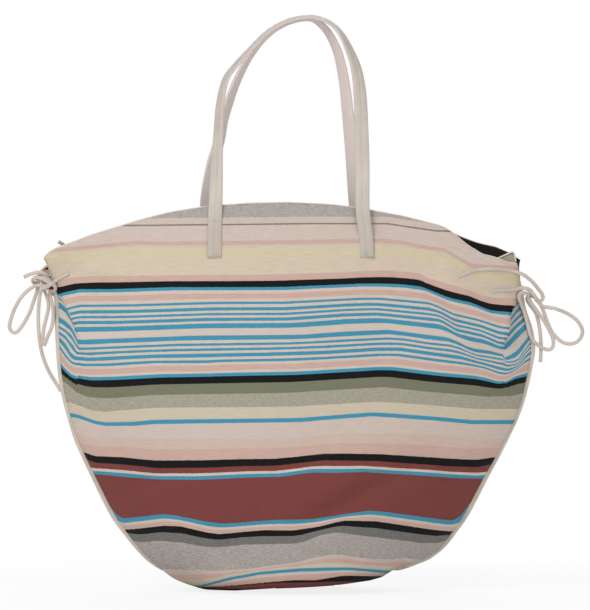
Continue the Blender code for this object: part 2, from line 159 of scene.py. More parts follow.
# The stripes, as each one's last dot row and its yarn. The strip repeats after REPEAT.
YARNS = {
    "grey heather": ("a59f9b", 1.0),
    "dark grey": ("7b7a76", 0.3),
    "pale pink": ("c4b4aa", 0.0),
    "mauve cream": ("c6b6ac", 0.0),
    "salmon": ("c3a498", 0.0),
    "pale yellow": ("c9bea0", 0.1),
    "beige cream": ("cabba8", 0.0),
    "black": ("161617", 0.0),
    "blue": ("428ca6", 0.0),
    "cream": ("c7baaf", 0.0),
    "olive": ("747661", 0.15),
    "green heather": ("9e9a8a", 0.8),
    "pale cream": ("c4b8a4", 0.1),
    "pinky beige": ("c5b0a3", 0.0),
    "dark red": ("78403c", 0.05),
    "dark heather": ("716f6c", 1.0),
    "light heather": ("a39c97", 1.0),
}
STRIPES = [
    (216.5, "grey heather"), (222.5, "pale pink"), (224.6, "dark grey"), (240.5, "mauve cream"),
    (244.5, "salmon"), (246.5, "mauve cream"), (256.5, "pale yellow"), (273.5, "beige cream"),
    (279.8, "salmon"), (286.3, "black"), (289.3, "blue"), (292.5, "cream"), (297.5, "salmon"),
    (300.5, "cream"), (303.3, "blue"), (306.5, "cream"), (309.3, "blue"), (311.6, "cream"),
    (314.3, "blue"), (316.8, "cream"), (319.6, "blue"), (322.2, "cream"), (326.7, "blue"),
    (334.0, "cream"), (338.7, "blue"), (341.7, "cream"), (344.3, "blue"), (346.7, "cream"),
    (349.3, "blue"), (351.7, "cream"), (354.3, "blue"), (357.2, "cream"), (360.1, "blue"),
    (362.5, "cream"), (368.5, "salmon"), (370.6, "cream"), (374.2, "blue"), (381.4, "black"),
    (391.5, "olive"), (405.5, "green heather"), (417.5, "pale cream"), (421.4, "blue"),
    (437.5, "mauve cream"), (446.5, "pinky beige"), (456.7, "salmon"), (463.8, "black"),
    (468.6, "dark red"), (471.4, "cream"), (474.8, "blue"), (519.0, "dark red"), (522.8, "blue"),
    (525.8, "cream"), (530.0, "salmon"), (535.6, "black"), (543.5, "dark heather"),
    (561.5, "light heather"), (563.5, "pale pink"), (564.8, "salmon"), (567.5, "pale cream"),
    (571.5, "blue"), (574.0, "cream"), (578.5, "salmon"), (586.0, "black"), (600.0, "dark red"),
    (604.0, "cream"), (609.0, "blue"), (628.0, "mauve cream"), (634.0, "salmon"), (640.0, "black"),
    (660.0, "olive"), (668.0, "pale yellow"), (672.0, "blue"), (690.0, "beige cream"),
    (693.5, "dark grey"), (700.0, "pale pink"),
]
FIRST_ROW, REPEAT = 150.0, 497.0


FULL_TURN = 2 * math.pi
MOST_STOPS = 30  # in one colour ramp


def make_striped_cotton():
    # Plain-woven cotton: thick weft stripes over a fine warp, matt and a little fuzzy.
    made, shader = new_material("woven_striped_cotton")
    place = add(made, "UVMap", uv_map="cloth").outputs["UV"]
    split = add(made, "SeparateXYZ", {"Vector": place})
    across, along = split.outputs["X"], split.outputs["Y"]

    # Yarn ends wander by a fraction of a millimetre where two stripes meet.
    wander = calc(made, "SUBTRACT", noise(made, place, (700.0, 260.0, 1.0), 1.0), 0.5)
    shifted = calc(made, "ADD", along, calc(made, "MULTIPLY", wander, 0.0011))
    row = calc(made, "MULTIPLY", shifted, 1 / DOT)
    past = calc(made, "GREATER_THAN", row, STRIPES[-1][0])
    row = calc(made, "SUBTRACT", row, calc(made, "MULTIPLY", past, REPEAT))

    chosen, plainness = None, None
    low = FIRST_ROW
    for first in range(0, len(STRIPES), MOST_STOPS):
        group = STRIPES[first : first + MOST_STOPS]
        high = group[-1][0]
        stops, begin = [], low
        for end, yarn in group:
            code, flecks = YARNS[yarn]
            stops.append(((begin - low) / (high - low), colour(code)[:3] + [1 - 0.5 * flecks]))
            begin = end
        ramp = add(made, "ValToRGB", {"Fac": ranged(made, row, low, high)})
        ramp.color_ramp.interpolation = "CONSTANT"
        ramp_stops(ramp, stops)
        tint, plain = ramp.outputs["Color"], ramp.outputs["Alpha"]
        if chosen:
            beyond = calc(made, "GREATER_THAN", row, low)
            tint = mixed(made, beyond, chosen, tint)
            plain = add(made, "Mix", {0: beyond, 2: plainness, 3: plain}, data_type="FLOAT").outputs[0]
        chosen, plainness, low = tint, plain, high

    # Heather yarn: dark and pale fibres twisted together, in streaks 5 mm long and one pick high.
    fleck = noise(made, place, (200.0, 1150.0, 1.0), 2.0, 0.65)
    fleck = ranged(made, fleck, 0.36, 0.64, -0.34, 0.34)
    fleck = calc(made, "MULTIPLY", fleck, calc(made, "SUBTRACT", 1.0, plainness))

    # Slubs: the yarn is a little lighter and darker in streaks 15 mm long.
    slub = ranged(made, noise(made, place, (65.0, 800.0, 1.0), 2.0), 0.3, 0.7, 0.94, 1.06)
    tone = calc(made, "ADD", slub, fleck)

    # The weave repeats every 2.1 mm across and every 1.7 mm along.
    ends = calc(made, "SINE", calc(made, "MULTIPLY", across, FULL_TURN / 0.0021))
    picks = calc(made, "SINE", calc(made, "MULTIPLY", along, FULL_TURN / 0.0017))
    crossing = calc(made, "MULTIPLY", ends, picks)
    shade = calc(made, "MULTIPLY_ADD", crossing, 0.025, tone)
    grey = add(made, "CombineColor", {0: shade, 1: shade, 2: shade}).outputs[0]
    height = calc(made, "MULTIPLY_ADD", slub, 0.9, crossing)
    feed(made, shader, {
        "Base Color": mixed(made, 1.0, chosen, grey, blend_type="MULTIPLY"),
        "Normal": bumps(made, height, 0.32, 0.0004), "Roughness": 0.92, "IOR": 1.45,
        "Specular IOR Level": 0.15, "Sheen Weight": 0.02, "Sheen Roughness": 0.6})
    return made


def make_lining_cotton():
    # Thin plain-woven cotton dyed black: matt, with a faint grey bloom on its threads.
    made, shader = new_material("black_lining_cotton")
    weave = noise(made, add(made, "TexCoord").outputs["Object"], 900.0, 2.0)
    feed(made, shader, {
        "Base Color": mixed(made, weave, colour("101012"), colour("1f1f21")),
        "Normal": bumps(made, weave, 0.3, 0.0003), "Roughness": 0.9,
        "Specular IOR Level": 0.2, "Sheen Weight": 0.1})
    return made


def make_leather(name, pale, deep, pebble, relief=0.2, once_around=None, edge_from=0.62, inner_painted_light=None):
    # Smooth dyed calf leather: fine pebbled grain, soft sheen, a shade deeper in its hollows.
    made, shader = new_material(name)
    place = add(made, "TexCoord").outputs["Object"]
    grain = add(made, "TexVoronoi", {"Vector": place, "Scale": 1 / pebble}, feature="DISTANCE_TO_EDGE")
    cloud = noise(made, place, 45.0, 3.0)
    tint = mixed(made, ranged(made, cloud, 0.3, 0.7), colour(deep), colour(pale))
    if once_around:  # folded strips show their flesh side as a pinkish line along both edges
        flat = add(made, "UVMap", uv_map="cloth").outputs["UV"]
        around = add(made, "SeparateXYZ", {"Vector": flat}).outputs["X"]
        turn = calc(made, "COSINE", calc(made, "MULTIPLY", around, FULL_TURN / once_around))
        edge_to = 0.4 + 0.6 * edge_from
        edge = ranged(made, calc(made, "ABSOLUTE", turn), edge_from, edge_to,
                      interpolation_type="SMOOTHSTEP")
        tint = mixed(made, edge, tint, colour("c9b7b3"))
    if inner_painted_light:  # painted light: the strap's inner face, which lies in shade, is painted paler; its lower, sewn ends are painted darker as painted shade
        # painted light: the inner half of the strap's outline gets a paler colour to offset the shade
        # it lies in
        inner = calc(made, "GREATER_THAN", around, once_around / 2)
        tint = mixed(made, inner, tint, colour(inner_painted_light))
        # painted shade: the strap is painted darker below the hinge, over its sewn ends on the cloth
        height = add(made, "SeparateXYZ", {"Vector": place}).outputs["Z"]
        tint = mixed(made, ranged(made, height, 0.46, 0.41, 0.0, 0.45), tint, colour("a3998d"))
    height = calc(made, "MULTIPLY_ADD", cloud, 0.4, grain.outputs["Distance"])
    feed(made, shader, {
        "Base Color": tint, "Normal": bumps(made, height, relief, 0.0004),
        "Roughness": ranged(made, cloud, 0.3, 0.7, 0.5, 0.62), "IOR": 1.5, "Specular IOR Level": 0.4})
    return made


def make_edging_cotton():
    # Narrow cotton tape folded over the raw edge: a close cross-ribbed weave, pale pink.
    made, shader = new_material("folded_cotton_edging")
    flat = add(made, "UVMap", uv_map="cloth").outputs["UV"]
    along = add(made, "SeparateXYZ", {"Vector": flat}).outputs["Y"]
    rib = calc(made, "SINE", calc(made, "MULTIPLY", along, FULL_TURN / 0.0016))
    feed(made, shader, {
        "Base Color": mixed(made, ranged(made, rib, -1.0, 1.0), colour("d3c0b6"), colour("e2d3ca")),
        "Normal": bumps(made, rib, 0.3, 0.0002), "Roughness": 0.85, "Sheen Weight": 0.1})
    return made


def make_thread():
    # Waxed polyester sewing thread: two plies twisted, slightly shiny.
    made, shader = new_material("waxed_sewing_thread")
    place = add(made, "TexCoord").outputs["Object"]
    ply = add(made, "TexWave", {"Vector": place, "Scale": 900.0, "Distortion": 2.0},
              bands_direction="DIAGONAL").outputs["Fac"]
    feed(made, shader, {
        "Base Color": mixed(made, ply, colour("b8ab9f"), colour("c2b7ab")),
        "Normal": bumps(made, ply, 0.3, 0.0001), "Roughness": 0.5})
    return made


striped_cotton = make_striped_cotton()
lining_cotton = make_lining_cotton()
strap_leather = make_leather("smooth_strap_leather", "c8beb3", "bdb3a8", 0.0011, relief=0.04,
                             once_around=0.0375, edge_from=0.965, inner_painted_light="d8cbc4")
lace_leather = make_leather("folded_lace_leather", "c9c0b4", "b8aea2", 0.0009, relief=0.12,
                            once_around=0.0121)
binding_leather = make_leather("binding_leather", "cac1b3", "bbb2a4", 0.0010)
edging_cotton = make_edging_cotton()
sewing_thread = make_thread()


# ---- Meshes --------------------------------------------------------------------------
def finish_piece(piece, material, body=None, replaced=()):
    """Give a piece its material, and its body and replaced nodes where it has them."""
    piece.data.materials.clear()
    piece.data.materials.append(material)
    for face in piece.data.polygons:
        face.use_smooth = True
    if body:
        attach(piece, body)
    if replaced:
        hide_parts(*replaced)


def choose(piece):
    """Make this piece the only one selected."""
    bpy.ops.object.select_all(action="DESELECT")
    piece.select_set(True)
    bpy.context.view_layer.objects.active = piece


def thicken(piece, thickness, offset):
    """Give a sheet its thickness: offset 0 on both sides alike, -1 on its inner side."""
    solid = piece.modifiers.new("thickness", "SOLIDIFY")
    solid.thickness = thickness
    solid.offset = offset
    choose(piece)
    bpy.ops.object.modifier_apply(modifier=solid.name)


def new_piece(name, points, faces):
    mesh = bpy.data.meshes.new(name)
    mesh.from_pydata(points.reshape(-1, 3).tolist(), [], faces)
    piece = bpy.data.objects.new(name, mesh)
    bpy.context.scene.collection.objects.link(piece)
    return piece


def lay_grid(name, points, across, along):
    """A sheet of quads through rows x columns of points, with its own UV map in metres."""
    rows, columns = points.shape[:2]
    index = np.arange(rows * columns).reshape(rows, columns)
    corners = [index[:-1, :-1], index[:-1, 1:], index[1:, 1:], index[1:, :-1]]
    quads = np.stack(corners, -1).reshape(-1, 4)
    piece = new_piece(name, points, quads.tolist())
    layer = piece.data.uv_layers.new(name="cloth")
    flat = np.stack([across.reshape(-1), along.reshape(-1)], -1)
    layer.uv.foreach_set("vector", flat[quads.reshape(-1)].reshape(-1).astype(np.float32))
    return piece


def distances(points):
    """How far along a line each of its points lies."""
    return np.concatenate([[0], np.cumsum(np.linalg.norm(np.diff(points, axis=0), axis=1))])


def between(t, start, end, start_slope, end_slope):
    """The smooth curve from start (t = 0) to end (t = 1) with the given slopes there."""
    return ((2 * t**3 - 3 * t**2 + 1) * start + (t**3 - 2 * t**2 + t) * start_slope
            + (3 * t**2 - 2 * t**3) * end + (t**3 - t**2) * end_slope)


def smooth_path(points, step):
    """A smooth open curve through the points, in even steps."""
    p = np.array([list(q) for q in points], float)
    ahead = np.linalg.norm(np.diff(p, axis=0), axis=1) ** 0.5
    knots = np.concatenate([[0], np.cumsum(ahead)])
    slopes = np.zeros_like(p)
    slopes[1:-1] = (p[2:] - p[:-2]) / (knots[2:] - knots[:-2])[:, None]
    slopes[0], slopes[-1] = (p[1] - p[0]) / ahead[0], (p[-1] - p[-2]) / ahead[-1]
    fine = []
    for i in range(len(p) - 1):
        t = np.linspace(0, 1, 24, endpoint=False)[:, None]
        w = knots[i + 1] - knots[i]
        fine.append(between(t, p[i], p[i + 1], w * slopes[i], w * slopes[i + 1]))
    fine = np.concatenate(fine + [p[-1:]])
    gone = distances(fine)
    count = max(3, int(round(gone[-1] / step)) + 1)
    even = np.linspace(0, gone[-1], count)
    return np.stack([np.interp(even, gone, fine[:, k]) for k in range(3)], -1), even


def unit(rows):
    return rows / np.maximum(np.linalg.norm(rows, axis=-1, keepdims=True), 1e-12)


def axes_along(path, facing):
    """At each step of a path: the way ahead, the way sideways and the way out of its face."""
    ahead = unit(np.gradient(path, axis=0))
    side = unit(np.cross(ahead, facing))
    return ahead, side, np.cross(side, ahead)


def sweep(name, path, along, facing, outline):
    """A closed tube: outline is (side, out) offsets, facing the way 'out' points at each step."""
    _, side, out = axes_along(path, facing)
    outline = np.array(outline, float)
    points = (path[:, None] + side[:, None] * outline[None, :, :1]
              + out[:, None] * outline[None, :, 1:])
    rings, ring = points.shape[:2]
    around = distances(np.vstack([outline, outline[:1]]))
    faces, loops = [], []
    for i in range(rings - 1):
        for j in range(ring):
            k = (j + 1) % ring
            faces.append((i * ring + j, i * ring + k, (i + 1) * ring + k, (i + 1) * ring + j))
            loops += [(around[j], along[i]), (around[j + 1], along[i]),
                      (around[j + 1], along[i + 1]), (around[j], along[i + 1])]
    faces.append(tuple(range(ring))[::-1])
    faces.append(tuple((rings - 1) * ring + j for j in range(ring)))
    loops += [(0.0, along[0])] * ring + [(0.0, along[-1])] * ring
    piece = new_piece(name, points, faces)
    layer = piece.data.uv_layers.new(name="cloth")
    layer.uv.foreach_set("vector", np.array(loops, np.float32).reshape(-1))
    bm = bmesh.new()
    bm.from_mesh(piece.data)
    bmesh.ops.recalc_face_normals(bm, faces=bm.faces)
    bm.to_mesh(piece.data)
    bm.free()
    return piece


def rounded(width, thickness, corner, steps=3):
    """The outline of a flat strip with rounded edges."""
    outline = []
    for cx, cy, start in ((1, 1, 0), (-1, 1, 90), (-1, -1, 180), (1, -1, 270)):
        for i in range(steps + 1):
            turn = math.radians(start + 90 * i / steps)
            outline.append((cx * (width / 2 - corner) + corner * math.cos(turn),
                            cy * (thickness / 2 - corner) + corner * math.sin(turn)))
    return outline


# ---- Striped cloth -------------------------------------------------------------------
FRONT, BACK = -1, 1
HEIGHT = 0.445  # ground to the mouth's edge at the middle
CLOTH = 0.0013  # how thick the striped cloth is
# Rows from the base to the mouth: height at the side seam and at the middle, as shares of
# the height, and how far the belly is out.
ROWS = np.array([
    (0.0034, 0.0, 0.0), (0.0247, 0.0045, 0.43), (0.056, 0.0247, 0.76), (0.092, 0.0674, 0.92),
    (0.146, 0.139, 0.99), (0.236, 0.247, 1.0), (0.348, 0.371, 0.95), (0.452, 0.506, 0.83),
    (0.566, 0.64, 0.66), (0.672, 0.775, 0.46), (0.775, 0.894, 0.24), (0.816, 0.948, 0.11),
    (0.856, 1.0, 0.0)])
BELLY_ROW, TIE_ROW, MOUTH_ROW = 5, 10, 12
BASE_HALF, BELLY_HALF, MOUTH_HALF = 0.060, 0.0965, 0.0465
SEAM_HALF, VENT_HALF = 0.0012, 0.012
RIGHT_RISE = 0.0135  # how much higher the right seam ends than the left one
SEAM_TUCK = 0.0066  # the bound seam allowance stands out past the cloth's own edge
SWEEP = 2.4  # how flat a row runs before it bends up or down to the side seam
FLATNESS = 1.5  # how soon the body gets flat towards its side seams
SOLE_ROWS = 3.5  # rows over which the uneven bottom fades out
# The body's outline, as (down, across) dots of its left and right edges.
LEFT_EDGE = [
    (258.5, 45), (270, 49), (284, 53.5), (293, 54.7), (330, 55), (350, 56), (370, 57.5),
    (390, 60), (400, 62.5), (420, 68), (440, 74), (460, 83), (480, 92.5), (500, 102), (520, 113),
    (540, 128), (550, 136.5), (560, 146), (570, 160), (580, 177), (585, 189), (588, 201), (590, 215)]
RIGHT_EDGE = [
    (263, 516), (275, 518.5), (287, 521), (300, 523.5), (310, 526.5), (320, 530),
    (330, 533), (340, 535), (350, 535.2), (360, 534), (370, 532), (380, 529.7), (390, 527.5),
    (400, 525.2), (420, 518), (440, 508), (460, 498), (480, 487), (500, 477), (520, 466),
    (540, 451), (550, 443), (560, 428), (566, 413), (570, 402), (574, 391), (578, 379)]
# Above the knots the back's corners reach further out than the front's.
BACK_LEFT_EDGE = [(256, 39), (270, 40), (276, 43), (284, 46.5), (291, 49.3), (301, 53.8), (309, 55)]
BACK_LEFT_EDGE += LEFT_EDGE[4:]
BACK_RIGHT_EDGE = [(250, 519.5), (258, 519.5), (263, 518.3), (270, 517.5), (287, 520.5)]
BACK_RIGHT_EDGE += RIGHT_EDGE[3:]
# The line along which the bottom is seen, as (across, down) dots: it rises to the right.
BOTTOM = [
    (190, 587.5), (205, 588.5), (235, 589), (250, 588), (280, 586), (310, 584.5), (340, 583),
    (355, 581), (370, 579), (385, 575), (400, 570)]
# The line of the mouth's edge, as (across, down) dots.
FRONT_TOP = [
    (45, 258.5), (47, 256), (50, 253), (55, 250), (60, 248), (66, 245.8), (72, 243.5),
    (80, 240.8), (90, 236.8), (107, 231.5), (145, 220), (172, 213.5), (207, 208), (250, 204.8),
    (290, 204), (330, 206), (355, 209), (400, 217), (440, 227), (449, 232), (466, 246), (481, 255),
    (495, 258.5), (506, 263), (516, 264)]
BACK_TOP = [
    (39, 271.5), (43, 267.5), (47, 264.5), (53, 258), (62, 251), (73, 244), (107, 232),
    (145, 220), (207, 208), (290, 204), (355, 209), (400, 217), (440, 227), (450, 231), (466, 238),
    (480, 243), (497, 247), (510, 253), (516, 257), (520, 260)]
# How the stripes hang: for some of their edges, how far below its level at the middle the edge
# is seen, in dots, at chosen dots across. Edges in between follow the two beside them.
HANGING_EDGES = {
    222.5: [(136, 1.5), (200, 1), (300, 0), (388, 0), (404, 2.5), (436, 7)],
    240.5: [(60, 7.5), (140, 0), (152, 1), (250, 0.5), (384, -2), (408, 1.5), (432, 6.5), (444, 7.5),
            (470, 23.5), (515, 26)],
    256.5: [(45, 6.5), (60, 5), (80, 3), (100, 1.5), (132, 0), (172, 1), (348, 0), (404, -1),
            (424, 3.5), (440, 4.5), (460, 13), (478, 24.5), (500, 26), (515, 25.5)],
    273.5: [(52, 7.5), (72, 4), (96, 2), (128, 2), (260, 1), (340, -1), (372, -3), (392, -3),
            (420, -0.5), (425, 3.5), (470, 17), (480, 22), (500, 25), (514, 25.5)],
    286.3: [(60, 7.5), (80, 3), (112, 3), (172, 1), (284, 1), (360, -2.5), (384, -2.5), (404, -1.5),
            (422, 1), (446, 10.5), (470, 16), (490, 24.5), (508, 26)],
    301.9: [(60, 8.5), (80, 3.5), (136, 3), (216, 0.5), (284, 0.5), (360, -3.5), (380, -3.5), (428, 1),
            (436, 4), (452, 12), (478, 17.5), (500, 25), (508, 26)],
    318.2: [(60, 8.5), (70, 5.5), (80, 4), (116, 4), (204, 1), (288, 0.5), (344, -3.5), (376, -4.5),
            (438, 1.5), (442, 3), (456, 12), (482, 17), (498, 24), (508, 25)],
    334: [(60, 8.5), (76, 4.5), (82, 5.5), (192, 1.5), (304, 0.5), (344, -2.5), (388, -4.5), (446, 3),
          (452, 5), (468, 13), (476, 15), (490, 16.5), (508, 22)],
    343: [(60, 8.5), (76, 4.5), (92, 5), (176, 1.5), (292, 0), (388, -5), (404, -4), (428, 0), (450, 2),
          (460, 5), (476, 12), (496, 15), (508, 16)],
    353: [(52, -4.5), (60, -3), (78, 5), (90, 6), (152, 3), (268, 1), (328, -1), (376, -4), (400, -4),
          (460, 4), (500, 15.5), (508, 16.5)],
    362.5: [(56, -8.5), (60, -6), (68, 1), (72, 3.5), (84, 6), (112, 6), (156, 3), (208, 3), (220, 2),
            (292, 1), (380, -4), (396, -4), (438, 1.5), (474, 5.5), (486, 8), (498, 13), (508, 14)],
    374.2: [(60, -6), (80, 3.5), (92, 5.5), (116, 5), (164, 2.5), (296, 0), (376, -4.5), (392, -4.5),
            (440, 1), (476, 4), (498, 9), (504, 8), (516, 2.5), (524, 1.5)],
    391.5: [(60, -14), (66, -10.5), (76, -1), (80, 1.5), (88, 4.5), (100, 6), (116, 6), (152, 3),
            (284, 1), (384, -5), (424, -0.5), (488, 4.5), (512, 3.5), (524, 0)],
    405.5: [(64, -4), (72, -3), (92, 4.5), (104, 6), (152, 2), (292, 1), (352, -2.5), (380, -4),
            (424, -1), (476, 3), (520, 3)],
    421.4: [(72, -5.5), (80, -4), (96, 2), (108, 4), (132, 4), (156, 2), (300, 0), (372, -6),
            (436, -1.5), (472, 2), (512, 1.5)],
    437.5: [(80, -3), (96, 0), (124, -1), (144, 1), (260, 1), (296, 0), (344, -4), (400, -4), (440, -3),
            (460, 0), (496, 1)],
    463.8: [(84, -7), (96, -2), (124, 0), (156, 3.5), (204, 3.5), (240, 2), (276, 1.5), (324, -4),
            (380, -3), (444, 1.5), (476, 2.5), (492, -1)],
    474.8: [(100, -1), (164, 4.5), (196, 4.5), (248, 2), (280, 1.5), (312, -3), (336, -2.5),
            (364, -3.5), (476, 3.5)],
    519: [(100, -27), (104, -24), (108, -19), (116, -6.5), (124, -1), (164, -5.5), (180, -3), (204, 2),
          (224, 4.5), (280, 0.5), (312, 0), (344, -4), (368, -8.5), (384, -7.5), (444, 0.5), (452, 1),
          (460, -4), (468, -16), (476, -24)],
    530: [(128, -1), (164, -5), (180, -4.5), (208, 2), (220, 3.5), (264, -0.5), (292, 0), (320, -3.5),
          (344, -10), (376, -9.5), (432, -1), (448, 0.5)],
    543.5: [(128, -7), (140, -2.5), (160, -4), (184, -2), (200, 1.5), (216, 3), (244, 0), (296, -0.5),
            (304, -2.5), (320, -9), (336, -12), (420, -1.5), (436, -1.5), (448, -5)],
    561.5: [(152, 3.5), (168, 5), (204, 6), (216, 8), (248, 7), (296, 0), (312, -4.5), (328, -9),
            (340, -9), (368, -4), (392, -4), (404, -6), (424, -4)],
    567.5: [(200, 17), (230, 9), (260, 3.5), (300, 0), (350, -0.5), (390, 2)],
    571.5: [(200, 15), (230, 8), (260, 2.5), (300, -0.5), (350, -1.5), (390, 1)],
    578.5: [(224, 7.5), (252, 5.5), (292, 1.5), (316, 1.5), (340, -3), (348, -3.5)],
    586: [(292, -4.5), (348, -6)],
}
# At each side one layer of the cloth laps over the next. Its edge, as dots; on which side of
# the edge the upper layer lies; and the rows of the under layer, seen at (down) by across.
LAPS = [
    (1, [(59.5, 297), (62.5, 301), (65, 305), (69, 314), (73.5, 325), (76.5, 336), (77.8, 347),
         (78, 352)],
     [324.5, 336.4, 343, 348, 353, 358.5, 365.5, 372.4, 381.4],
     {60: [304.5, 319.5, 326.5, 332.5, 338.5, 345.5, 354, 361.5, 371],
      66: [309.5, 323.5, 330.5, 337, 345.5, 355, 363, 369.5, 378],
      72: [320, 328.5, 336, 345.5, 356, 362, 368, 375, 382.5],
      78: [331, 341, 346.5, 353.7, 359, 364, 370.3, 377.5, 385.5]}),
    (-1, [(516.5, 297), (513.5, 309), (511.5, 316), (509.5, 330), (506, 343), (503.5, 350)],
     [301.9, 307.9, 313, 318.2, 324.5, 336.4, 343, 348, 353, 358.5, 365.5, 372.4, 381.4],
     {503: [320, 326, 331, 338, 348.5, 360, 361.5, 365, 369.5, 374, 378.5, 383.2, 387.5],
      509: [315, 321, 326, 333, 343, 358, 361.8, 365.3, 369.6, 372.5, 376.5, 379.8, 385.5],
      514: [306, 312.5, 320.5, 327.5, 337, 355.5, 361.3, 364.7, 367.7, 369.8, 372.6, 377, 384],
      518: [301, 309, 316.5, 324, 332.5, 352, 359.2, 363, 365.5, 367.3, 370.5, 376, 383],
      524: [295, 303.5, 311.5, 318.5, 327.5, 344, 350.7, 354, 357.5, 361.3, 367.5, 374.5, 381.5],
      529: [291, 300, 308, 315, 323, 337, 343.5, 348, 352.5, 358.5, 365.7, 373.3, 380]}),
]
LAP, LAP_RISE = 3.2, 0.0075  # how far the upper layer reaches over, in dots, and stands off
# Dots over which the lap's rise fades on its own side and on the other, and its pull to the side.
RISE_FADE, SINK_FADE, PULL_FADE = 16, 12, 9
# The strip's row in sight at the back's left corner, how far down it is seen, and how much the
# strip's rows are drawn out up the back.
CORNER_ROW, CORNER_DOWN, BACK_STRETCH = 1032.0, 265, 1.03


def ease(low, high, value):
    t = np.clip((value - low) / (high - low), 0, 1)
    return t * t * (3 - 2 * t)


def row_value(rows, column):
    """A column of ROWS between its rows, on a smooth curve."""
    values = ROWS[:, column]
    slopes = np.gradient(values)
    steps = np.diff(values)
    for i in range(1, len(values) - 1):
        slopes[i] = 0 if steps[i - 1] * steps[i] <= 0 else 2 / (1 / steps[i - 1] + 1 / steps[i])
    i = np.clip(rows.astype(int), 0, len(values) - 2)
    return between(rows - i, values[i], values[i + 1], slopes[i], slopes[i + 1])


def edge_x(heights, edge):
    table = [(spot(across, down).z, spot(across, down).x) for down, across in edge]
    table.sort()
    return np.interp(heights, [z for z, x in table], [x for z, x in table])


# Folds, as dots along each, how far it stands out (or in) and how wide it is, in metres. The
# first number makes it a pleat, which stands out on its right (1) or left (-1) side only and
# drops sharply on the other; 0 makes it a plain fold.
FOLDS = {
    FRONT: [
        (0, [(420, 282), (445, 300), (470, 326), (490, 345), (503, 356)], -0.0042, 0.012),
        (0, [(432, 268), (462, 290), (486, 314), (500, 330)], 0.0032, 0.013),
        (0, [(283, 538), (305, 525), (335, 508), (368, 489), (404, 474), (432, 452)], -0.0062, 0.014),
        (0, [(270, 520), (300, 505), (335, 487), (372, 468)], 0.0030, 0.018),
        (0, [(108, 500), (130, 489), (160, 476), (190, 468)], -0.0040, 0.011),
        (0, [(470, 508), (455, 488), (440, 468), (428, 452)], -0.0040, 0.011),
        (0, [(168, 500), (176, 530), (186, 560), (200, 584)], 0.0030, 0.012),
        (0, [(205, 520), (222, 545), (240, 575)], -0.0036, 0.014),
        (0, [(300, 545), (330, 560), (370, 566)], -0.0034, 0.010),
        (0, [(330, 318), (333, 345), (330, 372)], -0.0014, 0.008),
        (0, [(372, 322), (378, 350), (376, 380)], -0.0016, 0.009),
        (0, [(352, 318), (355, 350), (353, 378)], 0.0012, 0.009),
        (0, [(92, 400), (104, 440), (120, 470)], -0.0018, 0.012),
        (0, [(60, 262), (90, 268), (130, 266)], 0.0016, 0.012),
        (0, [(62, 277), (95, 280), (150, 277)], -0.0014, 0.008),
    ],
    BACK: [
        (1, [(60, 288), (66, 308), (72, 330), (76, 356)], 0.0060, 0.024),
        (-1, [(516, 296), (508, 322), (500, 352)], 0.0060, 0.024),
        (0, [(300, 540), (262, 520), (215, 500), (170, 470)], -0.0056, 0.014),
        (0, [(440, 500), (400, 478), (360, 462)], -0.0040, 0.012),
        (0, [(120, 300), (150, 330), (168, 365)], -0.0030, 0.012),
        (0, [(430, 290), (405, 330), (392, 380)], -0.0032, 0.014),
    ],
}


# Slack: how long each wave is, which way it runs and where it starts, in radians, and how tall.
WAVES = [(0.23, 0.35, 0.4, 0.0016), (0.145, -0.5, 2.1, 0.0011), (0.09, 0.9, 4.0, 0.0006),
         (0.061, -1.1, 1.0, 0.0004)]


def distance_to(across, down, line):
    """How far each dot is from a line of dots, more than 0 on its right, and where along it."""
    best = np.full(across.shape, 1e9)
    signed, along = np.zeros(across.shape), np.zeros(across.shape)
    line = np.array(line, float)
    lengths = np.linalg.norm(np.diff(line, axis=0), axis=1)
    done = 0.0
    for a, b, length in zip(line[:-1], line[1:], lengths):
        way = (b - a) / length
        dx, dy = across - a[0], down - a[1]
        t = np.clip(dx * way[0] + dy * way[1], 0, length)
        ex, ey = dx - t * way[0], dy - t * way[1]
        gap = np.hypot(ex, ey)
        nearer = gap < best
        sign = np.sign(dx * -way[1] + dy * way[0])
        best = np.where(nearer, gap, best)
        signed = np.where(nearer, gap * -sign, signed)
        along = np.where(nearer, (done + t) / lengths.sum(), along)
        done += length
    return signed, along


def fold_height(x, z, side):
    """How far the cloth stands out at (x, z) through its folds."""
    across, down = dots(x, side * 0.05, z)
    total = np.zeros(x.shape)
    for hand, line, depth, wide in FOLDS[side]:
        signed, along = distance_to(across, down, line)
        taper = np.sin(math.pi * np.clip(along, 0.02, 0.98)) ** 0.7
        far = signed * DOT
        if hand:
            far = far * hand
            rise = ease(-0.0012, 0.0014, far) * np.exp(-np.maximum(far, 0) / wide)
            sink = 0.55 * (1 - ease(-0.0012, 0.0014, far)) * np.exp(-np.maximum(-far, 0) / wide)
            total += depth * taper * (rise - sink)
        else:
            total += depth * taper * np.exp(-((far / wide) ** 2))
    # Slack cloth never lies quite flat: long shallow waves of a millimetre or so.
    for length, turn, start, tall in WAVES:
        run = (x * math.cos(turn) + z * math.sin(turn)) / length
        total += tall * np.sin(FULL_TURN * run + start + side)
    return total


def lap_strength(along):
    """How much there is of a lap at a share of its length: nothing at both ends."""
    return ease(0, 0.14, along) * (1 - ease(0.82, 1, along))


def lap_root(hand, edge):
    """The line from which a lap's upper layer springs, hidden under its seen edge."""
    inward = hand * LAP * lap_strength(np.linspace(0, 1, len(edge)))
    return [(across + shift, down) for (across, down), shift in zip(edge, inward)]


def past_tie(rows):
    """0 up to just below the tie, 1 above it."""
    return ease(TIE_ROW - 0.4, TIE_ROW + 0.2, rows)


def near_sole(rows):
    """1 at the base's edge, 0 from SOLE_ROWS up."""
    return 1 - ease(0, SOLE_ROWS, rows)


def ground_level(x, depth):
    """The height of the bottom's seen line where x is, for a point this far in front of the seam."""
    low = np.interp(dots(x, -depth, 0)[0], *zip(*BOTTOM))
    return EYE_Z - (low - DOTS_HIGH / 2) * DOT * (EYE_AWAY - depth) / EYE_AWAY


